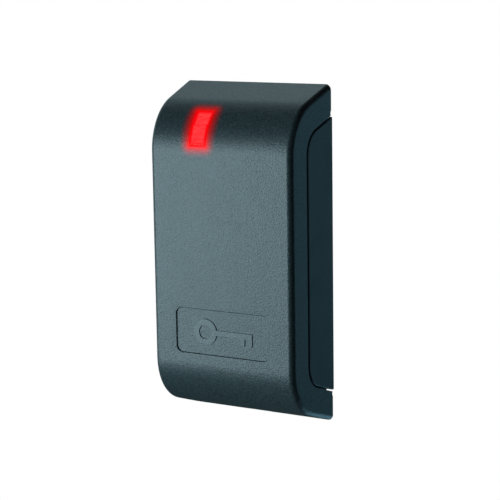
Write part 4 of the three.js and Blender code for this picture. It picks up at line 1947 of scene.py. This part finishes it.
    def crystal(self) -> list[bpy.types.Object]:
        """The crystal: a drawn can with round ends on a wider base plate.

        Returns:
            Its piece.
        """
        extent = Extent.of("crystal")
        low, high = extent.low, extent.high
        plate_y = high.y - 0.5
        plate = MeshBench.slab(
            rounded_outline(low.x, low.z, high.x, high.z, extent.size.z / 2 - 0.01), high.y, plate_y
        )
        rim = 0.45
        can_outline = rounded_outline(
            low.x + rim, low.z + rim, high.x - rim, high.z - rim, extent.size.z / 2 - rim - 0.01
        )
        can = MeshBench.to_object("crystal_can", MeshBench.slab(can_outline, plate_y + 0.1, low.y))
        MeshBench.cut(can, plate, "UNION")
        MeshBench.eased(can, 0.25, 3)
        return [place(can, Body.BASE, Slot.CAN, self.finishes.can, "crystal")]

    def reservoir(self) -> list[bpy.types.Object]:
        """The reservoir capacitor: a sleeved can with a rolled groove and a crossed vent on its end.

        Returns:
            Its can and its sleeve.
        """
        extent = Extent.of("reservoir_capacitor")
        x, z = extent.middle.x, extent.middle.z
        radius, top, foot = extent.size.x / 2, extent.low.y, extent.high.y
        sleeve = 0.12
        can = [(0, top), (radius - 0.6, top), (radius - 0.3, top + 0.08), (radius - sleeve, top + 0.35)]
        can += [(radius - sleeve, foot), (0, foot)]
        made = MeshBench.to_object("reservoir_can", MeshBench.lathe(can, x, z, self.can_sides))
        arm, deep = radius * 0.62, top + 0.12
        vent = MeshBench.box((x - arm, top - 1, z - 0.11), (x + arm, deep, z + 0.11))
        MeshBench.cut(made, vent)
        MeshBench.cut(made, MeshBench.box((x - 0.11, top - 1, z - arm), (x + 0.11, deep, z + arm)))
        MeshBench.eased(made, 0.03, 2)
        place(made, Body.BASE, Slot.CAN, self.finishes.can, "reservoir_capacitor")
        groove = foot - 1.6
        wrap = [(radius - 0.55, top + 0.02), (radius - 0.3, top + 0.02), (radius, top + 0.3)]
        wrap += [(radius, groove - 0.5), (radius - 0.28, groove), (radius, groove + 0.5), (radius, foot)]
        wrap += [
            (radius - sleeve - 0.05, foot), (radius - sleeve - 0.05, top + 0.4), (radius - 0.4, top + 0.12)
        ]
        skin = MeshBench.eased(
            MeshBench.to_object("reservoir_sleeve", MeshBench.lathe(wrap, x, z, self.can_sides)), 0.03, 2
        )
        place(skin, Body.BASE, Slot.BLACK, self.finishes.sleeve)
        return [made, skin]

    def tuning(self) -> list[bpy.types.Object]:
        """The tuning capacitor: a dipped block with soft edges.

        Returns:
            Its piece.
        """
        made = MeshBench.refined("tuning_capacitor", "tuning_capacitor_block", 0.7, 5)
        return [place(made, Body.BASE, Slot.FILM, self.finishes.film, "tuning_capacitor")]

    def sounder(self) -> list[bpy.types.Object]:
        """The sounder: a round case with a raised rim and a sound hole.

        Returns:
            Its piece.
        """
        extent = Extent.of("sounder")
        x, z = extent.middle.x, extent.middle.z
        radius, top, foot = extent.size.x / 2, extent.low.y, extent.high.y
        hole, ease, ring_in, ring_out, ring_rise = 1.0, 0.12, 2.1, 2.8, 0.25
        profile = [(hole, foot - 0.5), (hole, top + ease), (hole + ease, top), (ring_in, top)]
        profile += [(ring_in + 0.1, top + ring_rise), (ring_out - 0.1, top + ring_rise), (ring_out, top)]
        profile += [(radius - 0.5, top), (radius - 0.14, top + 0.14), (radius, top + 0.5)]
        profile += [(radius, foot), (hole, foot)]
        made = MeshBench.eased(
            MeshBench.to_object("sounder_case", MeshBench.lathe(profile, x, z, 64)), 0.05, 2
        )
        return [place(made, Body.BASE, Slot.BLACK, self.finishes.black, "sounder")]

    def lights(self) -> list[bpy.types.Object]:
        """The three status lights, each a white body with a clear round lens.

        Returns:
            Their pieces.
        """
        pieces = []
        for i in (1, 2, 3):
            node = f"status_led_{i}"
            extent = Extent.of(node)
            low, high = extent.low, extent.high
            rise = 0.2
            shape = MeshBench.box((low.x, low.y + rise, low.z), high)
            body = MeshBench.eased(MeshBench.to_object(f"{node}_body", shape), 0.1, 2)
            place(body, Body.BASE, Slot.LED, self.finishes.led_body, node)
            middle = extent.middle
            radius = 0.62
            arc = [math.pi / 2 * k / 6 for k in range(7)]
            dome = [(radius * math.sin(t), low.y + rise * (1 - math.cos(t))) for t in arc]
            dome += [(radius, low.y + rise + 0.1), (0, low.y + rise + 0.1)]
            lens = MeshBench.eased(
                MeshBench.to_object(f"{node}_lens", MeshBench.lathe(dome, middle.x, middle.z, 32)), 0.0
            )
            place(lens, Body.BASE, Slot.LED, self.finishes.lens)
            pieces += [body, lens]
        return pieces

    def joints(self) -> list[bpy.types.Object]:
        """Solder domes on the board's front, beside the terminals and where the coil's wires end.

        Returns:
            Their piece.
        """
        block = Extent.of("terminal_block")
        places = [
            (side * x, block.low.z - z) for side in (-1, 1) for x in (10.6, 12.9) for z in (3.0, 5.4, 7.8)
        ]
        for node in ("antenna_lead_start", "antenna_lead_end"):
            lead = Extent.of(node)
            places.append((lead.low.x + 0.35, lead.middle.z))
        bm = bmesh.new()
        for x, z in places:
            bm.verts.new((x, self.board_front + 0.05, z))
        made = MeshBench.to_object("solder_joints", bm)
        self.patterns.solder_domes.run(made, self.finishes.tin, Radius=0.62 * MM, Rise=0.6)
        for face in made.data.polygons:
            face.use_smooth = True
        return [place(made, Body.BASE, Slot.CAN, self.finishes.tin)]

    def build(self) -> list[bpy.types.Object]:
        """Builds and dresses the board and its parts.

        Returns:
            Their pieces.
        """
        board = MeshBench.refined("circuit_board", "circuit_board_fine", 0.08)
        place(board, Body.BASE, Slot.BOARD, self.finishes.board, "circuit_board")
        chips = {
            "microcontroller": Legs(4, 12, 0.65, 1.0, 0.3),
            "radio_chip": Legs(2, 5, 1.27, 1.4, 0.42),
            "interface_driver": Legs(2, 4, 1.1, 0.8, 0.4),
        }
        pieces = [board]
        for node, legs in chips.items():
            pieces += self.chip(node, legs)
        for i in (1, 2):
            pieces += self.capped(f"matching_capacitor_{i}", self.finishes.ceramic, Slot.CERAMIC, 0.24)
        pieces += self.capped("surge_suppressor", self.finishes.epoxy, Slot.EPOXY, 0.16)
        for make in (
            self.regulator, self.crystal, self.reservoir, self.tuning, self.sounder, self.lights, self.joints
        ):
            pieces += make()
        return pieces


@dataclass
class Antenna:
    """The wound coil and its two lead wires."""

    finishes: Finishes
    patterns: Patterns
    wire: float = 0.14
    turns: int = 4
    corner: float = 4.6

    def build(self) -> list[bpy.types.Object]:
        """Builds and dresses the coil and its leads.

        Returns:
            Its pieces.
        """
        extent = Extent.of("antenna_winding")
        pitch = (extent.size.y - 2 * self.wire) / (self.turns - 1)
        seed = MeshBench.to_object("antenna_turns", bmesh.new())
        coil = self.patterns.wound_turns.run(
            seed,
            self.finishes.copper,
            Width=(extent.size.x - 2 * self.wire) * MM,
            Height=(extent.size.z - 2 * self.wire) * MM,
            Corner=self.corner * MM,
            Wire=self.wire * MM,
            Pitch=pitch * MM,
            Turns=self.turns,
            First=(extent.middle.x * MM, (extent.low.y + self.wire) * MM, extent.middle.z * MM),
        )
        for face in coil.data.polygons:
            face.use_smooth = True
        pieces = [place(coil, Body.BASE, Slot.COPPER, self.finishes.copper, "antenna_winding")]
        for node in ("antenna_lead_start", "antenna_lead_end"):
            lead = MeshBench.refined(node, f"{node}_wire", 0.0)
            pieces.append(place(lead, Body.BASE, Slot.COPPER, self.finishes.copper, node))
        return pieces


@dataclass(frozen=True)
class Softened:
    """A CAD node whose edges are rounded and whose faces get its finish."""

    node: str
    body: Union[Body, str]
    slot: Slot
    width: float
    segments: int = 2


@dataclass
class Mouldings:
    """The plain moulded and stamped pieces inside the cover."""

    finishes: Finishes

    def rows(self) -> list[tuple[Softened, bpy.types.Material]]:
        """Lists the pieces with their finishes.

        Returns:
            The pieces, from the wall outwards.
        """
        f = self.finishes
        rows = [
            (Softened("cable_grommet", Body.BASE, Slot.RUBBER, 0.35, 4), f.rubber),
            (Softened("coil_former", Body.BASE, Slot.WHITE, 0.14), f.white),
            (Softened("light_shroud", Body.BASE, Slot.BLACK, 0.12), f.black),
            (Softened("terminal_block", Body.BASE, Slot.GREEN, 0.14), f.green),
            (Softened("tamper_switch", Body.BASE, Slot.BLACK, 0.15), f.black),
            (Softened("tamper_plunger", Body.TAMPER, Slot.WHITE, 0.2, 3), f.white),
        ]
        for i in range(1, 6):
            rows.append((Softened(f"terminal_clamp_{i}", f"wire_clamp_{i}", Slot.CAN, 0.08), f.can))
        return rows

    def build(self) -> list[bpy.types.Object]:
        """Builds and dresses the pieces.

        Returns:
            The pieces.
        """
        made = []
        for row, finish in self.rows():
            piece = MeshBench.refined(row.node, f"{row.node}_fine", row.width, row.segments)
            made.append(place(piece, row.body, row.slot, finish, row.node))
        return made


@dataclass
class Fixings:
    """The four board screws and the five terminal screws."""

    finishes: Finishes
    patterns: Patterns
    board_head: float = 1.7
    board_shank: float = 1.15
    terminal_head: float = 1.6
    terminal_shank: float = 0.95

    def build(self) -> list[bpy.types.Object]:
        """Builds and dresses the screws.

        Returns:
            Their pieces.
        """
        made = []
        for level in ("top", "bottom"):
            for side in ("left", "right"):
                screw = SlottedScrew(
                    f"board_screw_{level}_{side}",
                    self.finishes,
                    self.patterns,
                    self.board_head,
                    self.board_shank,
                    0.8,
                )
                made += screw.build(Body.BASE)
        for i in range(1, 6):
            screw = SlottedScrew(
                f"terminal_screw_{i}", self.finishes, self.patterns, self.terminal_head, self.terminal_shank
            )
            made += screw.build(f"wire_screw_{i}")
        return made


# ---------------------------------------------------------------------------
# Studio
# ---------------------------------------------------------------------------


@dataclass
class Studio:
    """Floor, soft lights and the camera."""

    floor_z: float = -0.42
    floor_half: float = 12.0
    paper: float = 1.0
    dim: float = 0.023
    azimuth: float = math.radians(30.335)
    elevation: float = math.radians(10.156)
    roll: float = math.radians(-0.874)
    distance: float = 4.9283  # in reader heights
    shift: tuple[float, float] = (-0.02975, -0.00343)
    lens: float = 118.5
    tint: Colour = (0.66, 0.92, 1.0)
    sky: Colour = (0.94, 0.88, 0.92)

    def paper_material(self) -> bpy.types.Material:
        """White paper that the camera sees as plain white and that throws little light back.

        Returns:
            The material.
        """
        material = bpy.data.materials.new("paper")
        material.use_nodes = True
        wiring = Wiring(material.node_tree)
        material.node_tree.nodes.clear()
        out = wiring.node("ShaderNodeOutputMaterial")
        seen = wiring.node("ShaderNodeLightPath").outputs["Is Camera Ray"]
        white = wiring.node("ShaderNodeEmission", {"Color": (1.0, 1.0, 1.0), "Strength": self.paper})
        grey = wiring.node("ShaderNodeBsdfDiffuse", {"Color": (0.12, 0.12, 0.12)})
        mixed = wiring.node("ShaderNodeMixShader", {0: seen, 1: grey.outputs[0], 2: white.outputs[0]})
        wiring.feed(out.inputs["Surface"], mixed.outputs[0])
        return material

    def floor(self) -> bpy.types.Object:
        """The plain pale floor.

        Returns:
            The floor.
        """
        half = self.floor_half
        mesh = bpy.data.meshes.new("floor")
        corners = [(-half, -half), (half, -half), (half, half), (-half, half)]
        mesh.from_pydata([(x, y, self.floor_z) for x, y in corners], [], [(0, 1, 2, 3)])
        mesh.materials.append(self.paper_material())
        made = bpy.data.objects.new("floor", mesh)
        bpy.context.scene.collection.objects.link(made)
        return made

    def world(self) -> None:
        """White round the object for the camera, dim for everything else."""
        world = bpy.data.worlds.new("studio")
        bpy.context.scene.world = world
        world.use_nodes = True
        wiring = Wiring(world.node_tree)
        world.node_tree.nodes.clear()
        seen = wiring.node("ShaderNodeLightPath").outputs["Is Camera Ray"]
        near = wiring.node("ShaderNodeBackground", {"Color": (1.0, 1.0, 1.0), "Strength": self.paper})
        far = wiring.node("ShaderNodeBackground", {"Color": self.sky, "Strength": self.dim})
        mixed = wiring.node("ShaderNodeMixShader", {0: seen, 1: far.outputs[0], 2: near.outputs[0]})
        out = wiring.node("ShaderNodeOutputWorld", {"Surface": mixed.outputs[0]})
        out.is_active_output = True

    def softbox(
        self,
        name: str,
        azimuth: float,
        elevation: float,
        distance: float,
        size: tuple[float, float],
        power: float,
        tint: Optional[Colour] = None,
    ) -> None:
        """A soft rectangular light that faces the reader.

        Args:
            name: of the light.
            azimuth: degrees round from straight in front, towards +X.
            elevation: degrees above the reader's middle.
            distance: in metres.
            size: width and height in metres.
            power: in watts.
            tint: colour of the light, if it isn't the studio's own.
        """
        a, e = math.radians(azimuth), math.radians(elevation)
        back = Vector((math.sin(a) * math.cos(e), -math.cos(a) * math.cos(e), math.sin(e)))
        data = bpy.data.lights.new(name, "AREA")
        data.shape = "RECTANGLE"
        data.size, data.size_y = size
        data.energy = power
        data.color = tint or self.tint
        light = bpy.data.objects.new(name, data)
        light.visible_camera = False
        light.location = back * distance
        light.rotation_mode = "QUATERNION"
        light.rotation_quaternion = (-back).to_track_quat("-Z", "Y")
        bpy.context.scene.collection.objects.link(light)

    def camera(self, height: float) -> bpy.types.Object:
        """The camera, up and to the right of the reader.

        Args:
            height: of the reader, in metres.

        Returns:
            The camera.
        """
        a, e = self.azimuth, self.elevation
        back = Vector((math.sin(a) * math.cos(e), -math.cos(a) * math.cos(e), math.sin(e)))
        right = Vector((math.cos(a), math.sin(a), 0.0))
        up = back.cross(right)
        turned_right = math.cos(self.roll) * right + math.sin(self.roll) * up
        turned_up = math.cos(self.roll) * up - math.sin(self.roll) * right
        data = bpy.data.cameras.new("camera")
        data.lens = self.lens
        data.clip_start, data.clip_end = 0.01, 60.0
        made = bpy.data.objects.new("camera", data)
        where = (back * self.distance + turned_right * self.shift[0] + turned_up * self.shift[1]) * height
        basis = Matrix((turned_right, turned_up, back)).transposed().to_4x4()
        made.matrix_world = Matrix.Translation(where) @ basis
        bpy.context.scene.collection.objects.link(made)
        bpy.context.scene.camera = made
        return made

    def build(self, height: float) -> None:
        """Sets up the whole studio.

        Args:
            height: of the reader, in metres.
        """
        self.floor()
        self.world()
        teal = (0.34, 0.77, 1.0)
        self.softbox("front_left", -36.5, -4.2, 1.0, (0.6, 0.575), 9.3)
        self.softbox("behind_left", -138.0, 39.5, 1.0, (0.8, 0.5), 1.28)
        self.softbox("behind_right", 150.0, -4.0, 1.2, (0.9, 0.9), 1.5, teal)
        self.softbox("right_fill", 76.0, 2.0, 1.2, (1.4, 1.4), 0.35, teal)
        self.softbox("back_fill", 204.0, 0.0, 1.2, (0.6, 1.2), 2.2)
        self.softbox("left_fill", -98.0, 0.0, 1.2, (0.4, 1.5), 2.4)
        self.softbox("below_behind", 160.0, -52.0, 0.46, (0.3, 0.3), 0.5, teal)
        self.camera(height)
        bpy.context.scene.view_settings.view_transform = "Standard"


def window_extent(form: Form, pipe: LightPipe) -> Extent:
    """Box of the lit window's outer face.

    Args:
        form: the outer form.
        pipe: the light guide.

    Returns:
        The box in millimetres.
    """
    x = Extent.of("light_pipe").middle.x
    low, high = pipe.angles
    ys = [form.arc_y - form.corner * math.cos(a) for a in (low, high)]
    zs = [form.arc_z + form.corner * math.sin(a) for a in (low, high)]
    return Extent(
        Vector((x - pipe.half_width, min(ys), zs[0])), Vector((x + pipe.half_width, max(ys), zs[1]))
    )


def main() -> None:
    """Builds the reader piece by piece, then the studio."""
    logging.basicConfig(level=logging.INFO, format="%(name)s: %(message)s")
    form = Form.from_cover()
    LOG.info("half height %.3f, half width %.3f, depth %.3f", form.half_height, form.half_width, form.depth)
    pipe = LightPipe(form)
    finishes = Finishes(window_extent(form, pipe))
    patterns = Patterns()
    builders: list[Callable[[], list[bpy.types.Object]]] = [
        FrontCover(form, finishes).build,
        pipe.build,
        BaseTray(finishes).build,
        Mouldings(finishes).build,
        Electronics(finishes, patterns).build,
        Antenna(finishes, patterns).build,
        Fixings(finishes, patterns).build,
    ]
    for build in builders:
        for piece in build():
            LOG.info("%s: %d faces", piece.name, len(piece.data.polygons))
    Studio().build(2 * form.half_height * MM)


if __name__ == "__main__":
    main()
